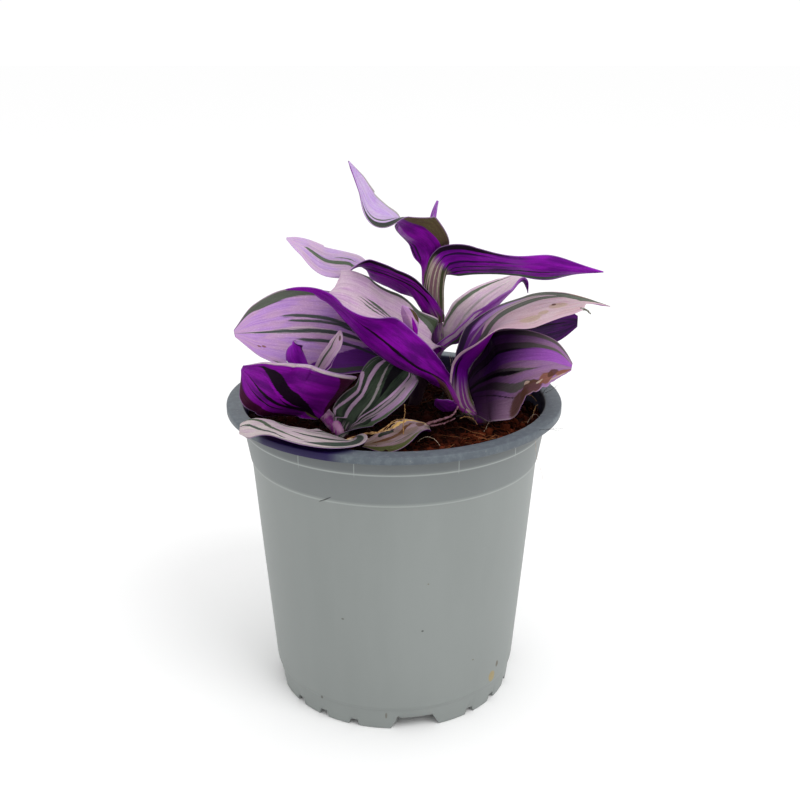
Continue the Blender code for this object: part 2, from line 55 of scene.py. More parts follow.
# --- the plant's form
# x, y, z of the midrib, half width, roll and fold in degrees, from the stem to the tip;
# a seventh number shifts the width across the midrib
LEAVES = {
    "top_left": [
        (11.8, 2.8, 155.6, 3, -55, 45), (12, 0, 164, 7.5, -20, 15),
        (4.5, -5.5, 170.5, 12.5, -20, 25), (0, -6.5, 175.5, 11, 0, 15),
        (-7.5, -10, 179.5, 9, 40, 5), (-11.5, -12.5, 188, 5, 50, 10),
        (-14.5, -15.5, 195.5, 0.5, 55, 10)],
    "top_right": [
        (14.7, 2.2, 155.4, 2.5, 55, 50), (19.2, 0.6, 158.3, 8.5, 50, 8),
        (30, -1.5, 159, 11.5, 35, 5), (41.5, -5, 159, 11, 30, 0), (53.5, -6.5, 158, 9, 40, 5),
        (63, -8, 158, 4.5, 35, 10), (71, -10, 158, 0.5, 30, 10)],
    "top_bud": [
        (12.7, 6, 156.3, 1.5, 80, 40), (12.9, 6.7, 164.7, 1.7, 80, 40),
        (13.5, 6.5, 170, 1.6, 80, 35), (14, 6.5, 175, 1.1, 80, 30),
        (15.2, 6.5, 179.5, 0.4, 80, 20)],
    "upper_left": [
        (8.8, 4, 141.6, 3, -30, 45), (5.7, 4.2, 148.3, 8, -40, 5), (-1, 5, 152.5, 10, -35, 0),
        (-8.5, 6, 155, 10, -35, 3), (-14.5, 7.8, 158, 8.8, 17, -12), (-24, 4, 159.5, 8.5, 30, -5),
        (-31.5, 2, 164.5, 5, 30, -5), (-37, 0.5, 167.5, 0.5, 40, -5)],
    "mid_left": [
        (15.6, -0.6, 128.6, 5, 56, 22, 0.3), (12.8, -2.6, 132, 7.6, 56, 8, 0.1),
        (6.6, -3.8, 136.7, 8.8, 40, 8, -0.1), (0.5, -5.5, 141.5, 12, 30, 5),
        (-8, -10, 148, 12, 35, 0), (-14.5, -12.5, 152, 10.6, 37, -10, 0.08),
        (-18.2, -13.4, 152.8, 8.2, 34, -12, 0.14), (-20.6, -12.7, 152.2, 4.8, 32, -8, 0.05),
        (-21.6, -11, 151.4, 0.5, 30, -5, 0)],
    "mid_right": [
        (19.4, 8.9, 124.5, 4, 0, 62), (24.4, 11, 128.2, 10, -8, 62),
        (30, 13.9, 132.2, 12.4, -6, 58), (36, 16.5, 137.9, 11.2, -10, 50),
        (42.5, 18, 144.6, 7.3, -10, 34), (47, 18.5, 148.5, 4, 10, 20), (49, 18, 144, 0.5, 35, 10)],
    "bud_centre": [
        (7.4, -14.4, 136.7, 1.6, -40, 40), (6, -17.2, 142, 3, -40, 30),
        (4.7, -18.5, 145.3, 2.6, -40, 20), (3, -19.5, 148.7, 0.5, -40, 10)],
    "far_left": [
        (7.4, 7.2, 118.8, 2.2, 20, 45), (3.4, 6.5, 122.8, 9, 40, 25), (-7, 5, 128, 12, 55, 15),
        (-21, 2, 132.5, 15, 65, 10), (-35.5, -0.5, 134.5, 15.5, 55, 10),
        (-48, -4, 135, 10.5, 50, 10), (-55.5, -7, 135.5, 1.5, 45, 5)],
    "front_left": [
        (20.2, -9.7, 115.1, 3, -85, 45), (15.6, -13, 119.9, 6.5, -60, 50),
        (6.5, -18.5, 127, 9.5, -55, 40), (-3.5, -24, 136.5, 10, -50, 30),
        (-12.5, -27, 144.5, 11.5, -20, 10), (-19.5, -29, 152, 8.5, -10, 0),
        (-26.5, -31.5, 156.5, 4, -20, 10), (-34.5, -31.5, 157, 0.5, -30, 0)],
    "right": [
        (22.9, -7.4, 117.1, 3, 15, 50), (26.4, -7.8, 124.3, 8.5, 0, 45),
        (31.5, -8.5, 131.5, 12, -10, 35), (36.5, -9, 140, 12.5, -5, 10),
        (46.5, -10, 145.5, 13.5, -10, -5), (58.5, -10.5, 148, 9.5, -10, -5),
        (67, -10, 147.5, 5.5, 0, 0), (74, -10, 146, 0.5, 10, -5)],
    "right_back": [
        (23.9, -5, 113.2, 2.5, 30, 40), (30, 3, 118.5, 7, 45, 30), (39, 11, 125.5, 10, 50, 20),
        (50, 16, 130, 12, 60, 10), (60.5, 18, 132, 9.5, 60, 0), (68, 19, 133, 2.5, 70, 0)],
    "right_low": [
        (27.4, -8.4, 113.3, 7, -62, 15, 0.25), (31.8, -10, 116.6, 12.5, -58, 10, 0.15),
        (37.5, -14, 122, 17, -55, 5), (46.5, -16.5, 126, 14.5, -40, 15),
        (54.5, -18.5, 128, 9, -40, 10), (60.5, -19, 127, 1.5, -45, 10)],
    "right_bud": [
        (21.8, -11.9, 109.9, 2, -30, 40), (18.9, -14.6, 110, 4, -50, 30),
        (16.5, -15.5, 112, 3.5, -50, 20), (14.5, -16, 114.5, 0.5, -50, 10)],
    "left_cup": [
        (-24.6, -20.8, 110.4, 9, -58, 5, -0.72), (-26.8, -24.3, 114.2, 12.3, -51, 6, -0.42),
        (-33.6, -27.2, 117.2, 13.2, -60, 18, -0.12), (-40, -30, 120.9, 13.3, -67, 15, 0),
        (-46.5, -29.6, 126, 9.5, -80, 0, 0), (-50.3, -27.8, 129.6, 1.5, -75, 0, 0)],
    "left_bud": [
        (-29.8, -13.3, 122.7, 2.5, -55, 55), (-31.9, -15.9, 127.8, 5, -75, 45),
        (-33.5, -17.5, 132, 4, -65, 45), (-34, -17.5, 136, 1, -60, 30)],
    "left_young": [
        (-26.4, -11.1, 122.2, 2.5, -45, 50), (-22.5, -11.5, 127.4, 3.5, -70, 30),
        (-19.5, -13, 133, 3, -70, 25), (-18.5, -13, 138.5, 0.5, -65, 15)],
    "left_striped": [
        (-14.4, -20.2, 105.3, 2.6, -20, 45), (-13.3, -19, 108.2, 9, -30, 30),
        (-8.5, -15, 112, 9.5, -45, 35), (-3.5, -10.5, 116.5, 11.5, -40, 35),
        (2, -5.5, 121, 8.5, -35, 20), (4.5, -3, 123, 1, -40, 5)],
    "left_rim": [
        (-14.5, -35, 106, 3, -10, 35), (-18.5, -44.5, 110.5, 10.5, 0, 5),
        (-27.5, -48, 113.5, 9.5, -5, -5), (-36, -46.5, 115, 8.5, -10, -5),
        (-44, -43.5, 115, 6.5, 10, -10), (-50, -41.5, 113, 2, 40, 0)],
    "front_low": [
        (-10, -35, 104.5, 2, -15, 30), (-3, -35, 105, 7, -10, 10), (4, -29, 106, 8, 10, 15),
        (8.5, -21, 106, 5, -15, 10), (12, -17, 105.5, 0.5, -15, 5)],
}

# x, y, z and radius of each stem, from the buried foot up
STEMS = {
    "stem_centre": [
        (7.5, 9, 88, 2.4), (7.5, 9, 100, 2.4), (7.5, 9, 103.6, 2.4), (8.4, 8.8, 108, 2.4),
        (10.4, 8.5, 114, 2.6), (12, 8.3, 119, 2.9), (13.6, 8.2, 124, 2.5), (15, 8, 129, 3.0),
        (15.2, 7.8, 132, 2.7), (14.7, 7, 137.5, 2.4), (14.3, 6.5, 141.5, 3.0), (14, 6.2, 144, 3.0),
        (13.5, 5.6, 147.5, 2.4), (13.3, 5.2, 150.5, 2.7), (13, 4.8, 153.6, 2.7),
        (12.9, 4.6, 155.2, 2.0)],
    "stem_right": [
        (31, -10.8, 88, 2.6), (31, -10.8, 99, 2.6), (31, -10.8, 102.5, 2.6),
        (30.2, -10.6, 105, 2.6), (27.6, -10, 107.5, 2.7), (24.9, -9.2, 109.8, 3.1),
        (23.4, -8.6, 112, 3.2), (22.9, -8.3, 113.8, 2.4), (22.8, -8, 115.4, 1.4)],
    "stem_left": [
        (-18.8, -22.6, 88, 2.0), (-18.8, -22.6, 100, 2.0), (-18.8, -22.6, 103.8, 2.0),
        (-19.5, -21.5, 105.4, 2.1), (-22, -17.6, 107, 2.3), (-25.2, -13.5, 109.5, 2.3),
        (-28.2, -11, 112.4, 2.1), (-29.3, -10.5, 116, 2.0), (-28.8, -11.5, 119.5, 1.8),
        (-28.4, -12, 121.6, 1.4)],
}


# --- curves through stations
def slopes(t, y, even):
    """Slopes of a smooth curve through the values; an even one never runs past them."""
    h, d = np.diff(t), np.diff(y, axis=0)
    step = d / (h[:, None] if y.ndim > 1 else h)
    out = [step[0]]
    for a, b, h0, h1 in zip(step, step[1:], h, h[1:]):
        if even:
            out.append(np.where(a * b > 0, 2 * a * b / np.where(a * b > 0, a + b, 1), 0))
        else:
            out.append((a * h1 + b * h0) / (h0 + h1))
    out.append(step[-1])
    if not even and len(step) > 1:
        out[0], out[-1] = 2 * step[0] - out[1], 2 * step[-1] - out[-2]
    return np.array(out)


def along(t, y, even, s):
    """Values of that curve at the shares s."""
    y = np.asarray(y, float)
    m = slopes(t, y, even)
    k = np.clip(np.searchsorted(t, s, side="right") - 1, 0, len(t) - 2)
    h = t[k + 1] - t[k]
    u = (s - t[k]) / h
    if y.ndim > 1:
        u, h = u[:, None], h[:, None]
    return ((2 * u**3 - 3 * u**2 + 1) * y[k] + (u**3 - 2 * u**2 + u) * h * m[k]
            + (3 * u**2 - 2 * u**3) * y[k + 1] + (u**3 - u**2) * h * m[k + 1])


def knots_of(points):
    """Shares of the length at which a line's points lie, and that length."""
    run = np.concatenate([[0], np.cumsum(np.linalg.norm(np.diff(points, axis=0), axis=1))])
    return run / run[-1], run[-1]


def unit(v):
    return v / np.maximum(np.linalg.norm(v, axis=-1, keepdims=True), 1e-9)


def smooth(a, b, x):
    """Smooth step from 0 at a to 1 at b."""
    t = np.clip((x - a) / (b - a), 0, 1)
    return t * t * (3 - 2 * t)


# --- meshes
def mesh_piece(name, verts, faces, mats, face_mats=None, points=None, uv=None, node=None):
    """Smooth-shaded mesh piece from millimetres, riding on the part."""
    mesh = bpy.data.meshes.new(name)
    mesh.from_pydata((np.asarray(verts) * MM).tolist(), [], [list(map(int, f)) for f in faces])
    for mat in mats:
        mesh.materials.append(mat)
    if face_mats is not None:
        mesh.polygons.foreach_set("material_index", np.asarray(face_mats, np.int32))
    for key, values in (points or {}).items():
        values = np.asarray(values, np.float32)
        kind, part = ("FLOAT_VECTOR", "vector") if values.ndim > 1 else ("FLOAT", "value")
        mesh.attributes.new(key, kind, "POINT").data.foreach_set(part, values.ravel())
    if uv is not None:
        layer = mesh.uv_layers.new(name="OFBake")
        layer.data.foreach_set("uv", np.asarray(uv, np.float32).ravel())
    mesh.shade_smooth()
    ob = bpy.data.objects.new(name, mesh)
    bpy.context.scene.collection.objects.link(ob)
    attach(ob, "root")
    if node:
        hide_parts(node)
    return ob


def circle(radius, z, sides, x=0.0, y=0.0):
    """Points of a level circle round (x, y), anticlockwise from +X."""
    turns = [2 * math.pi * k / sides for k in range(sides)]
    return [(x + radius * math.cos(a), y + radius * math.sin(a), z) for a in turns]


def between(low, high, sides, flip=False):
    """Quads between two rings of vertices, which start at low and high."""
    quads = [(low + k, low + (k + 1) % sides, high + (k + 1) % sides, high + k)
             for k in range(sides)]
    return [(a, d, c, b) for a, b, c, d in quads] if flip else quads


def tube(points, radii, sides):
    """Closed tube round a line of points."""
    points = np.asarray(points, float)
    run = unit(np.gradient(points, axis=0))
    side = unit(np.cross(run[0], (0.3, 1, 0.1)))
    verts = []
    for p, d, r in zip(points, run, radii):
        side = unit(side - d * np.dot(side, d))
        other = np.cross(d, side)
        for q in range(sides):
            a = 2 * math.pi * q / sides
            verts.append(p + (side * math.cos(a) + other * math.sin(a)) * r)
    last = (len(points) - 1) * sides
    faces = [f for low in range(0, last, sides) for f in between(low, low + sides, sides)]
    faces += [tuple(range(sides))[::-1], tuple(range(last, last + sides))]
    return np.array(verts), faces


# --- shader helpers
class Shade:
    """A Principled material and a few short words for its nodes."""

    def __init__(self, name):
        self.mat = bpy.data.materials.new(name)
        self.mat.use_nodes = True
        self.tree = self.mat.node_tree
        self.bsdf = self.tree.nodes["Principled BSDF"]

    def node(self, kind, props=None, **inputs):
        """New node; an input is given by its name, or as i and its number."""
        n = self.tree.nodes.new("ShaderNode" + kind)
        for key, value in (props or {}).items():
            setattr(n, key, value)
        for key, value in inputs.items():
            self.put(n.inputs[int(key[1:]) if key[1:].isdigit() else key], value)
        return n

    def put(self, socket, value):
        if isinstance(value, bpy.types.NodeSocket):
            self.tree.links.new(value, socket)
        else:
            socket.default_value = value

    def skin(self, **sockets):
        """Sets the Principled sockets and gives the finished material."""
        for key, value in sockets.items():
            self.put(self.bsdf.inputs[key.replace("_", " ")], value)
        return self.mat

    def place(self):
        """Position on the part in metres."""
        return self.node("TexCoord").outputs["Object"]

    def attr(self, name, part="Fac"):
        return self.node("Attribute", {"attribute_name": name}).outputs[part]

    def split(self, vector):
        return self.node("SeparateXYZ", Vector=vector).outputs

    def math(self, op, a, b=0.0, c=0.0):
        return self.node("Math", {"operation": op}, i0=a, i1=b, i2=c).outputs[0]

    def squares(self, a, b):
        """The sum of two squares."""
        return self.math("ADD", self.math("MULTIPLY", a, a), self.math("MULTIPLY", b, b))

    def vector(self, op, a, b=(0, 0, 0)):
        return self.node("VectorMath", {"operation": op}, i0=a, i1=b).outputs

    def scaled(self, vector, x, y, z):
        return self.vector("MULTIPLY", vector, (x, y, z))[0]

    def noise(self, vector, scale, detail=2.0, rough=0.5):
        return self.node("TexNoise", Vector=vector, Scale=scale, Detail=detail,
                         Roughness=rough).outputs["Fac"]

    def ramp(self, value, low, high, to_low=0.0, to_high=1.0):
        """Smooth step between two levels as the value goes from low to high."""
        return self.node("MapRange", {"interpolation_type": "SMOOTHSTEP"}, i0=value,
                         i1=low, i2=high, i3=to_low, i4=to_high).outputs[0]

    def mix(self, factor, a, b, blend="MIX"):
        return self.node("Mix", {"data_type": "RGBA", "blend_type": blend},
                         i0=factor, i6=a, i7=b).outputs[2]

    def times(self, colour, rgb):
        """The colour times red, green and blue strengths."""
        return self.mix(1.0, colour, (*rgb, 1), "MULTIPLY")

    def curve(self, value, points):
        """Smooth curve through points, level beyond its ends."""
        n = self.node("FloatCurve", Value=value)
        line = n.mapping.curves[0]
        n.mapping.extend = "HORIZONTAL"
        while len(line.points) < len(points):
            line.points.new(0.5, 0.5)
        for p, at in zip(line.points, points):
            p.location = at
            p.handle_type = "AUTO_CLAMPED"
        n.mapping.update()
        return n.outputs[0]

    def bump(self, height, strength, distance, **normal):
        return self.node("Bump", Strength=strength, Distance=distance, Height=height,
                         **normal).outputs[0]


# --- leaf colours
LILAC, PINK, PALE = srgb(184, 148, 206), srgb(194, 164, 192), srgb(200, 182, 190)
SILVER, SAGE, ASH = srgb(158, 152, 152), srgb(66, 78, 70), srgb(122, 132, 112)
GREEN, DARK, OLIVE = srgb(84, 96, 78), srgb(46, 54, 46), srgb(86, 76, 52)
VIOLET, DEEP, NAVY = srgb(138, 14, 162), srgb(92, 5, 114), srgb(44, 10, 60)
MAROON, BLACK, BROWN = srgb(62, 10, 46), srgb(24, 8, 26), srgb(112, 76, 50)
GOLD, CREAM, TAN = srgb(206, 170, 104), srgb(176, 164, 148), srgb(182, 160, 142)
RUST, UMBER = srgb(128, 84, 60), srgb(86, 56, 44)

# Three tones of the stripes on each leaf's sheath, and how much of them is left at its foot, where
# painted shade darkens it
SHEATH_TONES = {
    "top_left": (srgb(70, 74, 48), srgb(120, 60, 110), VIOLET, 0.8),
    "top_right": (srgb(66, 70, 46), CREAM, srgb(122, 92, 100), 0.7),
    "upper_left": (srgb(60, 56, 40), srgb(118, 96, 100), srgb(84, 30, 84), 0.6),
    "mid_left": (srgb(74, 84, 56), DEEP, VIOLET, 0.1),
    "mid_right": (DEEP, VIOLET, srgb(120, 100, 116), 0.15),
    "front_left": (srgb(78, 66, 40), srgb(150, 128, 124), srgb(120, 40, 120), 0.8),
    "right": (srgb(80, 76, 52), srgb(138, 114, 128), srgb(100, 40, 104), 0.8),
    "left_striped": (srgb(40, 50, 40), srgb(120, 110, 112), srgb(40, 20, 44), 0.5),
}

# Strength of each leaf's colours (red, green, blue), and how much of each is left at its foot;
# the strengths are partly painted light and shade for how lit each leaf is, and the foot's
# darkening is painted shade near the stem
TINTS = {
    "top_left": ((1, 1, 1), (0.9, 0.8, 0.9)),
    "top_right": ((1.35, 2.2, 1.45), (0.8, 0.7, 0.8)),
    "top_bud": ((1, 1.2, 1), (1, 1, 1)),
    "upper_left": ((1.15, 1.2, 1.15), (0.9, 0.8, 0.9)),
    "mid_left": ((0.98, 0.92, 1), (0.9, 0.9, 0.9)),
    "mid_right": ((1.1, 1.1, 1.1), (0.8, 0.8, 0.8)),
    "bud_centre": ((0.95, 0.8, 0.9), (1, 1, 1)),
    "far_left": ((0.97, 0.86, 1), (0.3, 0.12, 0.36)),
    "front_left": ((1, 0.5, 1.05), (0.7, 0.6, 0.7)),
    "right": ((1, 0.95, 0.92), (0.36, 0.1, 0.5)),
    "right_back": ((0.7, 0.7, 0.75), (0.2, 0.2, 0.2)),
    "right_low": ((0.6, 0.46, 0.6), (0.5, 0.36, 0.5)),
    "right_bud": ((1.3, 1, 1.2), (0.7, 0.7, 0.7)),
    "left_cup": ((0.92, 0.9, 0.9), (0.8, 0.8, 0.8)),
    "left_bud": ((1.5, 2.6, 1.6), (1, 1, 1)),
    "left_young": ((1.1, 1, 1.1), (0.8, 0.8, 0.8)),
    "left_striped": ((0.9, 0.86, 0.9), (0.5, 0.5, 0.5)),
    "left_rim": ((0.9, 0.96, 0.86), (0.6, 0.6, 0.6)),
    "front_low": ((0.64, 0.62, 0.58), (0.6, 0.6, 0.5)),
}

# Margins of another colour: the place across where they start, their strength and tone
MARGINS = {"right": (0.89, 0.8, srgb(190, 160, 172)), "front_left": (0.97, 0.6, PALE)}
BACKLIT = ("top_right", "left_bud")  # light through the blade, so brighter below only
SHEEN = 0.2  # specular level of the upper faces, apart from those in GLOSS
GLOSS = {"left_striped": 0.08, "right_low": 0.05, "right_back": 0.08,
         "front_low": 0.1}

# Shade on a leaf's left part: strengths of the colours, and between which values of x - z / 2,
# in metres, it ends
SHADED = {"right_low": ((0.1, 0.04, 0.14), -0.028, -0.012)}

# Dry spots and torn margins on the upper faces: colour, place along and across, and their radii
PATCHES = {
    "far_left": [
        (RUST, 0.86, -0.52, 0.012, 0.04), (RUST, 0.885, -0.56, 0.011, 0.035),
        (UMBER, 0.3, 0.98, 0.03, 0.03)],
    "right": [
        (TAN, 0.57, 0.62, 0.06, 0.14), (TAN, 0.72, 0.3, 0.05, 0.16), (UMBER, 0.7, 0.2, 0.012, 0.06),
        (TAN, 0.64, 0.5, 0.03, 0.1), (RUST, 0.86, -0.75, 0.06, 0.1)],
    "right_low": [
        (UMBER, 0.5, 0.92, 0.12, 0.34), (UMBER, 0.64, 0.78, 0.12, 0.3),
        (RUST, 0.78, 0.62, 0.07, 0.26), (UMBER, 0.84, 0.5, 0.05, 0.2),
        (RUST, 0.93, 0.66, 0.07, 0.2), (TAN, 0.6, 0.52, 0.03, 0.06), (TAN, 0.72, 0.66, 0.03, 0.05),
        (TAN, 0.88, 0.86, 0.08, 0.05)],
    "front_low": [
        (GOLD, 0.35, -0.95, 0.2, 0.08), (GOLD, 0.75, -0.85, 0.16, 0.1),
        (UMBER, 0.9, -0.2, 0.08, 0.3), (TAN, 0.97, 0.2, 0.05, 0.5)],
    "bud_centre": [
        (RUST, 0.9, 0.0, 0.12, 0.8)],
    "left_young": [
        (UMBER, 0.86, 0.3, 0.05, 0.3)],
}

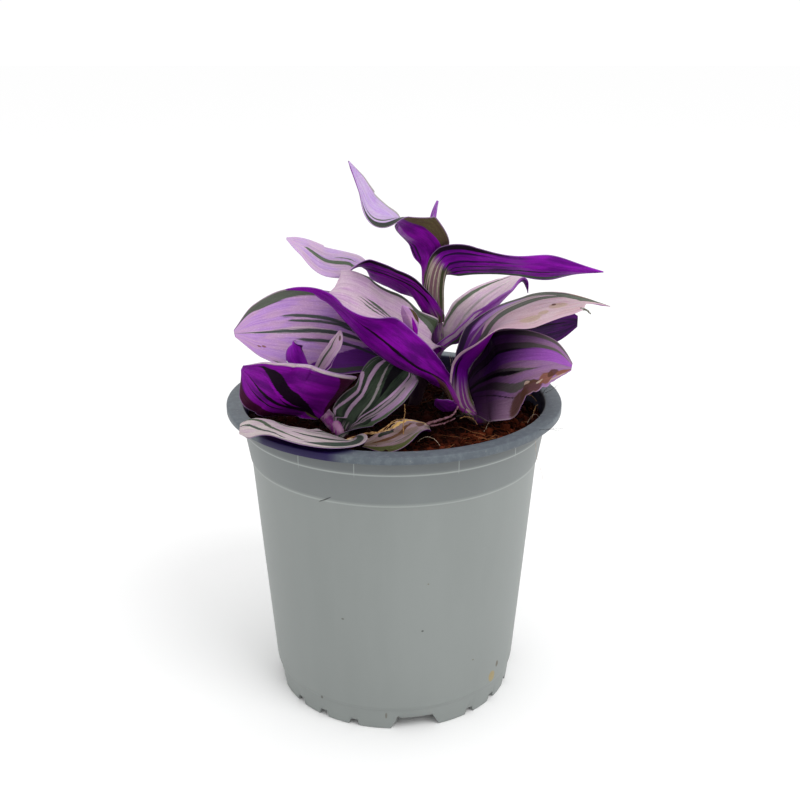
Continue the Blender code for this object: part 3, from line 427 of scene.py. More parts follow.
# Per leaf and face: ground colour, second colour that clouds it, then stripes. A stripe has its
# colour and stations, in hundredths: share of the length, place across (100 is the margin) and
# half width.
FACES = {
    ("top_left", "upper"): (srgb(178, 144, 208), srgb(190, 166, 204),
        (SILVER, (40, 93, 12), (70, 95, 10), (95, 95, 4)),
        (DARK, (45, -95, 16), (62, -86, 16), (78, -80, 2)),
        (GREEN, (50, -60, 2), (62, -55, 5), (75, -50, 1))),
    ("top_left", "lower"): (VIOLET, DEEP,
        (OLIVE, (2, -85, 20), (25, -80, 24), (50, -84, 16)),
        (NAVY, (5, 62, 4), (25, 66, 7), (45, 70, 3)),
        (NAVY, (10, 88, 6), (30, 90, 6), (50, 90, 3))),
    ("top_right", "upper"): (LILAC, PINK,
        (GREEN, (5, 80, 10), (50, 82, 12), (95, 80, 3)),
        (DARK, (5, -40, 10), (50, -40, 10), (90, -20, 2))),
    ("top_right", "lower"): (VIOLET, DEEP,
        (BLACK, (0, 90, 12), (20, 88, 13), (45, 93, 5)),
        (NAVY, (4, 50, 3), (16, 56, 6), (36, 60, 2)),
        (NAVY, (4, 2, 5), (20, 14, 6), (50, 30, 2)),
        (NAVY, (4, -32, 5), (22, -20, 5), (42, -2, 2)),
        (BLACK, (3, -60, 5), (40, -42, 7), (75, -12, 2)),
        (DARK, (6, -90, 14), (45, -86, 13), (80, -62, 6))),
    ("top_bud", "upper"): (PINK, PALE),
    ("top_bud", "lower"): (VIOLET, LILAC,
        (GREEN, (10, 50, 10), (90, 40, 5))),
    ("upper_left", "upper"): (LILAC, PINK,
        (GREEN, (52, -38, 10), (66, -16, 12), (84, -5, 13), (90, -4, 0)),
        (GREEN, (53, -2, 3), (62, 12, 4), (68, 16, 0))),
    ("upper_left", "lower"): (VIOLET, DEEP,
        (BLACK, (8, -62, 5), (20, -28, 7), (45, -18, 5)),
        (NAVY, (12, -74, 3), (26, -46, 5), (42, -46, 3)),
        (BLACK, (10, -94, 10), (26, -86, 12), (44, -88, 10)),
        (LILAC, (10, 95, 5), (50, 95, 5))),
    ("mid_left", "upper"): (PINK, PALE,
        (GREEN, (0, 55, 40), (10, 60, 36), (20, 72, 22), (32, 92, 6)),
        (srgb(62, 76, 50), (0, 60, 20), (10, 68, 16), (20, 80, 6), (28, 88, 1)),
        (GREEN, (28, 97, 5), (50, 93, 8), (72, 96, 3)),
        (GREEN, (50, -30, 5), (60, -12, 9), (70, 0, 2)),
        (GREEN, (52, -42, 2), (62, -26, 5), (74, -10, 2)),
        (GREEN, (55, -52, 2), (65, -38, 4), (76, -22, 1))),
    ("mid_left", "lower"): (VIOLET, DEEP,
        (BLACK, (10, 30, 5), (80, 20, 3))),
    ("mid_right", "upper"): (PINK, PALE,
        (GREEN, (10, -93, 3), (40, -90, 5), (80, -90, 3)),
        (GREEN, (10, 93, 6), (50, 93, 8), (80, 93, 3)),
        (SILVER, (10, -50, 3), (50, -60, 4), (80, -60, 1))),
    ("mid_right", "lower"): (srgb(150, 74, 170), srgb(120, 30, 140),
        (GREEN, (0, 45, 8), (14, 50, 12), (30, 60, 4)),
        (PINK, (0, 80, 12), (20, 84, 8), (40, 90, 3)),
        (DEEP, (75, 0, 10), (90, 0, 80), (100, 0, 100))),
    ("bud_centre", "upper"): (PINK, GOLD),
    ("bud_centre", "lower"): (LILAC, PINK,
        (VIOLET, (0, -60, 50), (30, -20, 30), (60, -30, 5)),
        (OLIVE, (30, -95, 10), (60, -80, 25), (85, -90, 10))),
    ("far_left", "upper"): (LILAC, PINK,
        (GREEN, (25, 70, 10), (60, 92, 7), (82, 86, 14), (97, 90, 6)),
        # painted shade: the violet stripe below stands for shade on that side of the face
        (srgb(112, 44, 140), (0, -50, 60), (30, -62, 44), (50, -80, 24), (66, -96, 4)),
        (SAGE, (30, 20, 4), (55, 37, 5), (73, 38, 3.5), (77, 38, 0)),
        (SAGE, (30, 10, 3.5), (52, 27, 4), (70, 26, 3), (74, 26, 0)),
        (PALE, (30, 0, 8), (60, 5, 9), (80, 0, 7), (100, 0, 3)),
        (SAGE, (10, -10, 4), (50, 6, 5.5), (75, 0, 5), (100, 0, 2)),
        (SAGE, (20, -40, 4), (45, -18, 5), (64, -20, 4), (70, -20, 0)),
        (GREEN, (10, -80, 5), (50, -90, 7), (80, -93, 3))),
    ("far_left", "lower"): (VIOLET, DEEP,
        (BLACK, (10, 30, 5), (50, 40, 6), (90, 20, 2)),
        (NAVY, (10, -30, 5), (50, -40, 6), (90, -20, 2))),
    ("front_left", "upper"): (LILAC, PINK,
        (GREEN, (10, 50, 8), (50, 60, 10), (90, 40, 2)),
        (DARK, (10, -50, 8), (50, -60, 8), (90, -40, 2))),
    ("front_left", "lower"): (VIOLET, DEEP,
        (BLACK, (6, -24, 3), (30, -10, 5.5), (50, -16, 5), (72, -36, 1)),
        (OLIVE, (0, 30, 50), (5, 10, 30), (12, -10, 6), (20, -15, 0)),
        # painted shade: the navy band below runs along the shaded margin
        (NAVY, (30, 90, 4), (60, 90, 5), (90, 90, 2)),
        (LILAC, (10, 99, 2), (60, 99, 2.5), (100, 99, 5))),
    ("right", "upper"): (srgb(198, 172, 178), PALE,
        # painted shade: the violet stripe below is the face's foot in shade
        (srgb(118, 52, 138), (0, -30, 70), (12, -50, 50), (24, -66, 36), (40, -86, 16),
         (60, -98, 3)),
        (NAVY, (0, -80, 16), (14, -86, 14), (26, -90, 10), (40, -97, 2)),
        (GREEN, (0, -50, 10), (28, -30, 12), (48, -36, 17), (70, -40, 10), (84, -36, 4)),
        (SILVER, (20, -60, 3), (45, -62, 4), (70, -66, 2)),
        (LILAC, (20, -75, 0), (35, -75, 8), (60, -82, 5)),
        (GREEN, (45, -93, 6), (68, -80, 18), (80, -50, 34), (90, -30, 60), (100, 0, 100)),
        (DARK, (72, -80, 4), (82, -70, 10), (92, -50, 12), (100, -20, 10))),
    ("right", "lower"): (DEEP, VIOLET,
        (BLACK, (0, 70, 12), (12, 75, 6), (20, 90, 0)),
        (VIOLET, (4, 40, 30), (20, 50, 30), (40, 60, 20)),
        (PINK, (0, 95, 6), (60, 95, 6)),
        (NAVY, (0, -30, 6), (40, -30, 8), (90, -20, 2))),
    ("right_back", "upper"): (NAVY, DEEP,
        (DARK, (10, 40, 10), (90, 30, 5))),
    ("right_back", "lower"): (DEEP, NAVY,
        (BLACK, (10, 20, 6), (90, 10, 3))),
    ("right_low", "upper"): (srgb(184, 154, 196), srgb(188, 164, 182),
        (srgb(190, 124, 218), (20, -34, 10), (50, -40, 16), (80, -34, 24), (100, -20, 30)),
        (srgb(184, 168, 178), (10, 70, 30), (50, 90, 30)),
        (ASH, (2, -10, 6), (25, 10, 10), (50, 42, 12), (66, 56, 8), (76, 60, 0)),
        (BLACK, (2, 12, 1), (25, 34, 2), (50, 66, 1)),
        (ASH, (2, -40, 8), (20, -24, 9), (42, -6, 9), (62, 4, 5), (78, 10, 0)),
        (BLACK, (2, -36, 4), (20, -20, 5), (42, -3, 5), (62, 6, 0)),
        (ASH, (6, -80, 6), (35, -62, 9), (70, -60, 7), (90, -60, 5), (100, -50, 0)),
        (BLACK, (10, -66, 2), (35, -52, 3), (66, -52, 1)),
        (ASH, (20, -97, 4), (60, -92, 7), (100, -90, 7))),
    ("right_low", "lower"): (VIOLET, DEEP,
        (BLACK, (10, 30, 6), (90, 20, 2))),
    ("right_bud", "upper"): (NAVY, DEEP),
    ("right_bud", "lower"): (DEEP, NAVY),
    ("left_cup", "upper"): (LILAC, PINK,
        (GREEN, (10, 50, 8), (90, 40, 3))),
    ("left_cup", "lower"): (VIOLET, DEEP,
        # painted shade: the two maroon stripes below
        (MAROON, (26, 97, 8), (42, 86, 18), (75, 82, 20), (95, 90, 12)),
        (MAROON, (0, -62, 62), (9, -70, 52), (15, -86, 30), (20, -100, 6)),
        (BLACK, (2, 70, 12), (18, 30, 20), (35, 4, 27), (50, -14, 22), (68, -46, 19), (85, -74, 5)),
        (VIOLET, (30, 16, 1), (50, 0, 4.5), (75, -34, 3), (90, -60, 0)),
        (BLACK, (30, 30, 3), (50, 22, 6), (72, 12, 5), (92, -6, 1)),
        (BLACK, (40, 44, 2), (60, 40, 3.5), (85, 30, 1)),
        (OLIVE, (0, 80, 12), (12, 55, 8), (22, 40, 2)),
        (PALE, (0, -98.5, 3), (30, -96, 5), (70, -96, 5), (95, -98, 3))),
    ("left_bud", "upper"): (LILAC, PINK),
    ("left_bud", "lower"): (VIOLET, DEEP,
        (PINK, (0, 60, 20), (25, 40, 12), (50, 95, 5)),
        (NAVY, (50, -90, 8), (80, -85, 14), (100, -90, 10))),
    ("left_young", "upper"): (PINK, PALE,
        (GREEN, (5, -60, 10), (30, -58, 10), (90, -60, 6)),
        (GREEN, (2, 0, 10), (10, 20, 10), (20, 50, 2)),
        (DEEP, (10, 90, 10), (30, 75, 16), (60, 95, 2))),
    ("left_young", "lower"): (VIOLET, DEEP),
    ("left_striped", "upper"): (srgb(34, 44, 36), srgb(62, 78, 60),
        (srgb(88, 108, 80), (0, 85, 16), (30, 90, 12), (60, 94, 8), (90, 97, 5)),
        (srgb(176, 146, 178), (20, 74, 8), (50, 78, 13), (90, 84, 12)),
        (srgb(168, 150, 162), (0, 24, 8), (20, 46, 12), (50, 60, 13), (90, 68, 7)),
        (SAGE, (10, 36, 2), (30, 54, 3), (70, 66, 3)),
        (PINK, (0, 8, 3), (30, 28, 4.5), (60, 44, 6), (95, 50, 3)),
        (SILVER, (15, 8, 3), (45, -10, 6), (75, -42, 4), (90, -60, 0)),
        (PINK, (4, -90, 5), (10, -42, 7), (28, -52, 8), (85, -76, 5)),
        (PINK, (8, -95, 5), (20, -74, 6), (50, -92, 8)),
        (srgb(14, 12, 18), (50, 10, 4), (75, -10, 16), (100, -20, 30))),
    ("left_striped", "lower"): (DEEP, NAVY),
    ("left_rim", "upper"): (srgb(192, 164, 188), PALE,
        (SILVER, (0, 20, 10), (30, 30, 8), (50, 45, 7), (66, 60, 2)),
        (SAGE, (4, -72, 12), (28, -68, 20), (46, -76, 6)),
        (SAGE, (6, -30, 6), (32, -20, 10), (56, -8, 4), (70, 10, 0)),
        (GREEN, (6, 50, 4), (30, 60, 6), (50, 74, 6), (62, 90, 1)),
        (SAGE, (2, 86, 6), (20, 88, 5), (40, 95, 2)),
        (GREEN, (50, -62, 3), (64, -40, 8), (76, 0, 12), (86, 50, 14), (95, 90, 8)),
        (GREEN, (60, 44, 3), (72, 75, 9), (80, 95, 5)),
        (SAGE, (60, -86, 3), (82, -34, 8), (95, 20, 10), (100, 40, 6)),
        (GREEN, (30, -98, 5), (90, -98, 4))),
    ("left_rim", "lower"): (DEEP, NAVY),
    ("front_low", "upper"): (PINK, srgb(150, 128, 124),
        (srgb(104, 112, 66), (0, 60, 30), (20, 60, 36), (40, 80, 16), (80, 90, 8)),
        (srgb(78, 88, 56), (30, 10, 2), (50, 30, 5), (80, 50, 2)),
        (BROWN, (10, -30, 6), (40, -30, 10), (80, -50, 5)),
        (DARK, (20, -70, 12), (45, -75, 12), (60, -80, 2)),
        (GOLD, (20, -97, 4), (60, -93, 7), (90, -70, 10), (100, 0, 40))),
    ("front_low", "lower"): (DEEP, NAVY),
}

# the painted shade at a sheath's foot is darkest at SHEATH_LOW
SHEATH_LOW = -0.3  # share of the length, below the blade, where a sheath's foot is darkest
STRIPE_FADE = 0.04  # share of the length over which a stripe comes and goes


def striped(s, colour, stripes, u, place):
    """The colour under stripes that wander across the blade."""
    for tone, *stations in stripes:
        stations = [(x / 100, v / 100, w / 100) for x, v, w in stations]
        first, last = stations[0][0], stations[-1][0]
        widths = [(x, w / 2) for x, v, w in stations]
        if first > STRIPE_FADE:
            widths.insert(0, (first - STRIPE_FADE, 0))
        if last < 1 - STRIPE_FADE:
            widths.append((last + STRIPE_FADE, 0))
        mid = s.curve(u, [(x, (v + 1) / 2) for x, v, w in stations])
        off = s.math("ABSOLUTE", s.math("SUBTRACT", place, mid))
        inside = s.math("SUBTRACT", s.curve(u, widths), off)
        colour = s.mix(s.ramp(inside, -0.005, 0.011), colour, tone)
    return colour


def sheathed(s, name, colour, blade, u, jag):
    """The colour with the sheath's own stripes below the blade."""
    first, middle, third, low = SHEATH_TONES[name]
    lines = s.noise(s.scaled(blade, 1.5, 4.5, 7.3), 1.0, 2.0, 0.7)
    wrap = s.mix(s.ramp(lines, 0.45, 0.53), first, middle)
    wrap = s.mix(s.ramp(s.noise(s.scaled(blade, 1.5, 6, 1.7), 1.0), 0.5, 0.58), wrap, third)
    # painted shade: the sheath darkens towards its foot
    wrap = s.mix(s.ramp(u, SHEATH_LOW, 0.0, 1.0, 0.0), wrap, s.times(wrap, (low, low, low)))
    edge = s.math("ADD", u, s.math("MULTIPLY", jag, 0.06))
    return s.mix(s.ramp(edge, 0.0, 0.09, 1.0, 0.0), colour, wrap)


def patched(s, colour, patches, u, across, fine):
    """The colour under dry spots with ragged edges."""
    for tone, pu, pv, ru, rv in patches:
        du = s.math("DIVIDE", s.math("SUBTRACT", u, pu), ru)
        dv = s.math("DIVIDE", s.math("SUBTRACT", across, pv), rv)
        far = s.math("ADD", s.squares(du, dv), s.math("MULTIPLY_ADD", fine, 1.2, -0.6))
        colour = s.mix(s.ramp(far, 0.7, 1.15, 0.9, 0.0), colour, tone)
    return colour


def leaf_material(name, face, length, width):
    """Ground, clouding, long stripes, painted shade, fine fibres, pale mottling with painted sheen
    specks, margin, then skin with a wax sheen.
    """
    ground, second, *stripes = FACES[name, face]
    upper = face == "upper"
    s = Shade(f"leaf_{name}_{face}")
    blade = s.attr("blade", "Vector")
    u, across, _ = s.split(blade)

    def grain(long, wide, shift, scale, detail, rough=0.5):
        return s.noise(s.scaled(blade, length * long, width * wide, shift), scale, detail, rough)

    jag = grain(0.05, 1.1, 3.7, 3.0, 3.0, 0.6)
    fine = grain(0.1, 1.5, 1.3, 3.0, 2.0, 0.6)
    streak = grain(0.018, 0.38, 2.9, 3.0, 4.0, 0.62)
    cloud = grain(0.035, 0.11, 0.9, 2.2, 3.0)
    place = s.math("MULTIPLY_ADD", across, 0.5, 0.5)
    place = s.math("ADD", place, s.math("MULTIPLY_ADD", jag, 0.05, -0.025))
    colour = s.mix(s.ramp(cloud, 0.38, 0.62), ground, second)
    colour = s.mix(s.ramp(streak, 0.42, 0.66, 0.0, 0.6), colour, second)
    colour = striped(s, colour, stripes, u, place)
    # the tint is partly the leaf's own tone, partly painted light and shade for how lit the leaf is
    tint, foot = TINTS[name]
    colour = s.times(colour, (1, 1, 1) if upper and name in BACKLIT else tint)
    # painted shade: the leaf darkens towards its foot near the stem
    colour = s.mix(s.ramp(u, 0.05, 0.62, 1.0, 0.0), colour, s.times(colour, foot))
    if name in SHEATHS:
        colour = sheathed(s, name, colour, blade, u, jag)
    if upper:
        colour = patched(s, colour, PATCHES.get(name, []), u, across, fine)
    if name in SHADED:
        shade, dark, lit = SHADED[name]
        spot = s.split(s.place())
        side = s.math("ADD", spot[0], s.math("MULTIPLY", spot[2], -0.5))
        colour = s.mix(s.ramp(side, dark, lit, 1.0, 0.0), colour, s.times(colour, shade))
    dim = s.times(colour, (0.5, 0.4, 0.5))
    colour = s.mix(s.ramp(streak, 0.56, 0.34, 0.0, 0.32), colour, dim)
    colour = s.mix(s.ramp(fine, 0.48, 0.72, 0.0, 0.3), colour, dim)
    # pale specks: partly the leaf's own mottling, partly painted sheen highlights
    mottle_and_sheen = s.times(colour, (1.5, 1.7, 1.5) if upper else (1.5, 2.2, 1.4))
    mottle_and_sheen_mask = s.ramp(grain(0.45, 0.7, 5.1, 3.0, 2.0, 0.7), 0.52, 0.72, 0.0, 0.42)
    colour = s.mix(mottle_and_sheen_mask, colour, mottle_and_sheen)
    rim = s.ramp(s.math("ABSOLUTE", across), 0.955, 0.99, 0.0, 0.2 if name in GLOSS else 0.4)
    colour = s.mix(rim, colour, PALE if upper else LILAC)
    if name in MARGINS:
        start, strength, tone = MARGINS[name]
        colour = s.mix(s.ramp(across, start, start + 0.03, 0.0, strength), colour, tone)
    ribs = s.bump(streak, 0.4, 0.0003)
    veins = s.bump(fine, 0.3, 0.00012, Normal=ribs)
    cells = s.bump(grain(1.2, 1.2, 1.0, 3.0, 1.0), 0.25, 0.00008, Normal=veins)
    return s.skin(Base_Color=colour, Roughness=s.ramp(fine, 0.2, 0.8, 0.4, 0.56),
                  Specular_IOR_Level=GLOSS.get(name, SHEEN) if upper else 0.07,
                  Subsurface_Weight=0.12, Subsurface_Radius=(1.0, 0.3, 0.8),
                  Subsurface_Scale=0.0008, Normal=cells)


# --- leaves
BLADE_T = 0.62  # thickness of a blade along its middle
SMALL_GRID, LARGE_GRID = (56, 18), (110, 40)  # steps along and across a blade

# Leaf sheaths: the stem, heights of the lower and upper ring, their radii, half wrap in degrees,
# and the share of the blade at which the sheath has opened into it
SHEATHS = {
    "top_left": ("stem_centre", 148, 155, 3.0, 3.6, 150, 0.1),
    "top_right": ("stem_centre", 138, 154, 3.1, 5.0, 150, 0.1),
    "upper_left": ("stem_centre", 136.5, 141.5, 3.4, 4.6, 150, 0.16),
    "mid_left": ("stem_centre", 122, 130, 3.3, 4.6, 150, 0.12),
    "mid_right": ("stem_centre", 121.5, 128.5, 3.4, 4.2, 140, 0.12),
    "front_left": ("stem_right", 108.5, 114, 3.6, 4.0, 150, 0.08),
    "right": ("stem_right", 107.5, 115, 3.5, 4.4, 150, 0.1),
    "left_striped": ("stem_left", 102.5, 105.5, 2.6, 3.2, 140, 0.08),
}

# Torn margins: side of the blade, shares between which the tear runs in, its depth, its
# raggedness and the seed of that
TORN = {
    "right": (1, 0.83, 0.87, 0.62, 0.16, 10),
    "right_low": (1, 0.46, 0.6, 0.03, 0.12, 14),
    "front_low": (-1, 0.3, 0.5, 0.0, 0.1, 14),
}


def torn(name, grid, shares, places):
    """Pulls one margin of the blade in where it is torn."""
    if name not in TORN:
        return grid
    side, start, stop, depth, rough, seed = TORN[name]
    knots = np.arange(0, len(shares) + 3, 3)
    ragged = np.random.default_rng(seed).random(len(shares) // 3 + 2)[:len(knots)]
    ragged = np.interp(np.arange(len(shares)), knots, ragged)
    cut = (depth + rough * ragged * smooth(1.0, 0.9, shares)) * smooth(start, stop, shares)
    out = grid.copy()
    for k, c in enumerate(cut):
        if c > 0:
            want = np.where(side * places > 0, places * (1 - c), places)
            out[k] = np.stack([np.interp(want, places, grid[k][:, i]) for i in range(3)], axis=1)
    return out


def stem_at(name, height):
    """Centre of a stem at a height."""
    rows = np.array(STEMS[name], float)
    t, _ = knots_of(rows[:, :3])
    line = along(t, rows[:, :3], False, np.linspace(0, 1, 400))
    return line[np.argmin(np.abs(line[:, 2] - height))]


def blade_surface(rows, shares, places):
    """Middle surface at shares of a blade's length and places across, its length and width."""
    rows = np.array([(*r, 0) if len(r) == 6 else r for r in rows], float)
    t, length = knots_of(rows[:, :3])
    mid, ahead, behind = [along(t, rows[:, :3], False, np.clip(shares + step, 0, 1))
                          for step in (0, 1e-3, -1e-3)]
    run = unit(ahead - behind)
    width, roll, fold, skew = [along(t, rows[:, i], True, shares) for i in (3, 4, 5, 6)]
    roll, fold, width = np.radians(roll), np.radians(fold), np.maximum(width, 0.05)
    side = unit(np.cross(run, (0, 0, 1)))
    face = np.cross(side, run)
    cr, sr = np.cos(roll)[:, None], np.sin(roll)[:, None]
    over, up = side * cr + face * sr, face * cr - side * sr
    half = width[:, None] * (1 + skew[:, None] * np.sign(places))
    flat = half * np.cos(fold)[:, None] * places
    lift = half * np.sin(fold)[:, None] * np.abs(places) ** 1.5
    grid = mid[:, None] + flat[..., None] * over[:, None] + lift[..., None] * up[:, None]
    return grid, length, float(width.max())


def with_sheath(name, shares, places):
    """Blade rows led down into a sheath that wraps the stem, with their signed shares."""
    grid, length, width = blade_surface(LEAVES[name], shares, places)
    if name not in SHEATHS:
        return grid, shares, length, width
    stem, low, high, r_low, r_high, wrap, opened = SHEATHS[name]
    steps = np.linspace(0, 1, 27)[:-1]
    foot = blade_surface(LEAVES[name], steps * opened, places)[0]
    out = grid[np.argmin(np.abs(shares - 0.2)), len(places) // 2] - stem_at(stem, high)
    out[2] = 0
    out = unit(out)
    side = np.array([out[1], -out[0], 0])
    turn = np.radians(wrap) * places
    rows = []
    for t, reach, blade_row in zip(steps, smooth(0.3, 1.0, steps), foot):
        lift = min(1.0, 1.25 * t)
        centre = stem_at(stem, low + (high - low) * lift)
        radius = r_low + (r_high - r_low) * lift**1.5
        ring = centre + radius * (np.cos(turn)[:, None] * out + np.sin(turn)[:, None] * side)
        rows.append(ring * (1 - reach) + blade_row * reach)
    keep = shares > opened
    span = (high - low + 2) / length
    signed = np.concatenate([opened - (span + opened) * (1 - steps), shares[keep]])
    return np.concatenate([np.array(rows), grid[keep]]), signed, length, width


def make_blade(name):
    """A blade with ribs and a groove, closed round its margin."""
    nu, nv = SMALL_GRID if name.endswith(("bud", "young", "bud_centre")) else LARGE_GRID
    places = np.sin(np.linspace(-1, 1, nv + 1) * math.pi / 2 * 0.94)
    places /= places[-1]
    grid, shares, length, width = with_sheath(name, np.linspace(0, 1, nu + 1) ** 0.95, places)
    grid = torn(name, grid, shares, places)
    nu = len(shares) - 1
    normal = unit(np.cross(np.gradient(grid, axis=1), np.gradient(grid, axis=0)))
    node = "leaf_" + name
    seed = sum(map(ord, node))
    ribs = 0.035 * np.cos(places * 26 + seed) + 0.03 * np.cos(places * 43 + 2 * seed)
    groove = -0.16 * np.exp(-(places / 0.05) ** 2)
    thick = BLADE_T / 2 * (1 - 0.75 * np.abs(places) ** 5)
    fade = smooth(0, 0.06, shares)[:, None] * smooth(0, 0.05, 1 - shares)[:, None]
    tip = 1 - 0.5 * smooth(0.05, 0, 1 - shares)[:, None]
    over = (thick[None] + (ribs + groove)[None] * fade) * tip
    under = (thick[None] - (ribs * 0.6 + groove)[None] * fade) * tip
    skin = [grid + normal * over[..., None], grid - normal * under[..., None]]
    verts = np.stack(skin).reshape(-1, 3)
    cols, count = nv + 1, (nu + 1) * (nv + 1)
    i, j = np.meshgrid(np.arange(nu), np.arange(nv), indexing="ij")
    a = (i * cols + j).ravel()
    b, c, d = a + cols, a + cols + 1, a + 1
    faces = [*zip(a, d, c, b), *zip(a + count, b + count, c + count, d + count)]
    rim = list(range(cols)) + [(k + 1) * cols + nv for k in range(nu)]
    rim += [nu * cols + k for k in range(nv - 1, -1, -1)] + [k * cols for k in range(nu - 1, 0, -1)]
    edge = [(p, p + count, q + count, q) for p, q in zip(rim, rim[1:] + rim[:1])]
    mats = [0] * len(a) + [1] * (len(a) + len(edge))
    uu, vv = np.meshgrid(shares, places, indexing="ij")
    blade = np.stack([uu, vv, np.zeros_like(uu)], -1).reshape(-1, 3)
    blade = np.concatenate([blade, blade + (0, 0, 1)])
    uv = []  # flat layout: the upper face on the left, the lower on the right, then the edge
    for k, face in enumerate(faces):
        for q in face:
            row, col = divmod(q % count, cols)
            uv.append(((0.01 if k < len(a) else 0.5) + 0.235 * (places[col] + 1),
                       0.01 + 0.98 * row / nu))
    for k, face in enumerate(edge):
        uv += [(0.985 if q < count else 0.995, 0.01 + 0.98 * k / len(edge)) for q in face]
    skins = [leaf_material(name, face, length, width) for face in ("upper", "lower")]
    mesh_piece("blade_" + name, verts, faces + edge, skins, mats, {"blade": blade}, uv, node)


for leaf in LEAVES:
    make_blade(leaf)


# --- stems
# Skin, flush and pale tones, and the heights in metres between which the dark foot ends; the dark
# foot is painted shade
STEM_TONES = {
    "stem_centre": (srgb(120, 104, 112), srgb(92, 40, 104), srgb(150, 148, 128), (0.124, 0.134)),
    "stem_right": (srgb(96, 78, 62), srgb(80, 20, 90), srgb(120, 118, 84), (0.1035, 0.106)),
    "stem_left": (srgb(150, 104, 140), srgb(112, 30, 110), srgb(140, 116, 130), (0.1035, 0.106)),
}
STEM_RINGS, STEM_SIDES = 120, 28


def stem_material(name):
    skin, flush, pale, (low, high) = STEM_TONES[name]
    s = Shade(name + "_skin")
    place = s.place()
    fibre = s.noise(s.scaled(place, 1500, 1500, 60), 1.0, 3.0)
    colour = s.mix(s.ramp(s.noise(place, 220.0, 3.0), 0.42, 0.6), skin, flush)
    colour = s.mix(s.ramp(fibre, 0.5, 0.66, 0.0, 0.7), colour, pale)
    # painted shade: the stem is darkened below these heights
    foot = s.ramp(s.split(place)[2], low, high, 1.0, 0.0)
    colour = s.mix(foot, colour, s.times(colour, (0.1, 0.06, 0.08)))
    return s.skin(Base_Color=colour, Roughness=0.42, Specular_IOR_Level=0.15,
                  Subsurface_Weight=0.2, Subsurface_Radius=(1.0, 0.5, 0.6),
                  Subsurface_Scale=0.001, Normal=s.bump(fibre, 0.4, 0.0002))


def make_stem(node):
    rows = np.asarray(STEMS[node], float)
    knots, _ = knots_of(rows[:, :3])
    at = np.linspace(0, 1, STEM_RINGS)
    line, radii = along(knots, rows[:, :3], False, at), along(knots, rows[:, 3], True, at)
    verts, faces = tube(line, radii, STEM_SIDES)
    mesh_piece(node + "_fine", verts, faces, [stem_material(node)], node=node)


for stem in STEMS:
    make_stem(stem)


# --- pot
POT_LINE = [  # radius, height; the outside from the foot up, over the flange, down the inside
    (43.8, 0), (44.1, 2.5), (44.55, 7.2), (44.7, 8.1), (45.25, 8.7), (45.4, 9.6),
    (48.6, 49), (51.75, 89), (51.85, 89.8), (52.25, 90.3), (52.4, 91.0),
    (53.3, 96.3), (54.15, 101.2), (54.3, 101.8), (54.75, 102.3), (54.9, 103.0),
    (55.0, 106), (55.0, 108.6), (55.3, 108.9), (58.4, 108.9), (58.7, 108.7), (58.75, 108.0),
    (58.95, 107.8), (59.8, 107.8), (60.0, 108.0), (60.0, 110.0), (59.85, 110.3), (59.6, 110.4),
    (55.2, 110.4), (54.6, 110.35), (54.15, 110.0), (54.0, 109.4),
    (53.95, 106), (53.9, 103.2), (53.3, 102.3), (51.4, 91.6), (50.9, 90.4), (44.4, 9.8),
    (43.4, 6.5), (26.2, 6.5), (24.6, 1.3), (0, 1.3),
]
POT_UNDER = [(0, 0), (25.4, 0), (27.0, 5.2), (42.4, 5.2), (42.6, 0)]
POT_SIDES, NOTCH_CLEAR = 240, 0.35  # steps round; degrees kept clear beside a breakpoint
RIM_STEPS = range(19, 41)  # steps of POT_LINE with the rim's and the inside's material
FOOT_SPREAD = 0.00065  # share by which the wall is wider for each millimetre above the foot
DRAIN_R, DRAIN_AT_R, DRAINS, DRAIN_SIDES = 3.4, 34.7, 8, 24
GUTTER = (4.2, 7.5)  # heights just below and above the gutter's floor
SHARP = 50  # degrees between two faces above which their edge stays sharp
NOTCH_LARGE, NOTCH_SMALL = (17.5, 12.5, 4.4), (4.0, 2.6, 2.2)  # width below, width above, height
NOTCH_LARGE_AT, NOTCH_SMALL_STEP = (-80, 10, 100, 190), (28.5, 44.5, 61.0)


def foot_notches():
    """Breakpoints round the foot in degrees from the front, and the edge's height at them."""
    stops = []
    notches = [(0, NOTCH_LARGE)] + [(step, NOTCH_SMALL) for step in NOTCH_SMALL_STEP]
    for large in NOTCH_LARGE_AT:
        for step, (low, top, high) in notches:
            a, b = [math.degrees(width / 2 / POT_LINE[0][0]) for width in (low, top)]
            mid = large + step
            stops += [(mid - a, 0), (mid - b, high), (mid + b, high), (mid + a, 0)]
    return sorted((a % 360, h) for a, h in stops)


SEAM, SPECK = srgb(144, 150, 147), srgb(104, 96, 84)
# Scuffs, seams and specks on the front of the wall: tone, x, z, half width, half height, lean
MARKS = [
    (srgb(36, 38, 38), -22.4, 90.6, 2.2, 0.35, 0.7), (srgb(84, 84, 78), -17.5, 45, 0.5, 0.35, 0),
    (srgb(60, 62, 60), 9.8, 41.4, 0.45, 0.4, 0), (srgb(72, 70, 66), -26, 8.2, 0.5, 1.0, 0.3),
    (srgb(150, 132, 84), 35.6, 11.6, 1.3, 2.6, 0), (srgb(84, 74, 58), 37.6, 15.5, 0.5, 1.4, 0.4),
    (srgb(64, 62, 58), 1.4, 4.4, 0.6, 0.9, 0.5), (srgb(96, 92, 84), -2.8, 5.6, 0.4, 1.4, 0.2),
    *((SEAM, x, 104, 0.16, 3.6, 0) for x in (-31, -12.6, 21, 40.4)),
    (SPECK, 11.6, 60, 0.3, 0.3, 0), (SPECK, 28, 24, 0.35, 0.3, 0),
]

# Heights in metres at which the two bands under the rim start, and how painted shade darkens them;
# painted highlights along their bright edges
BAND_SHADES = [(0.0905, 0.0915, (0.74, 0.75, 0.77)), (0.1022, 0.1034, (0.8, 0.8, 0.82))]
RING_HIGHLIGHTS = (0.0901, 0.1019)


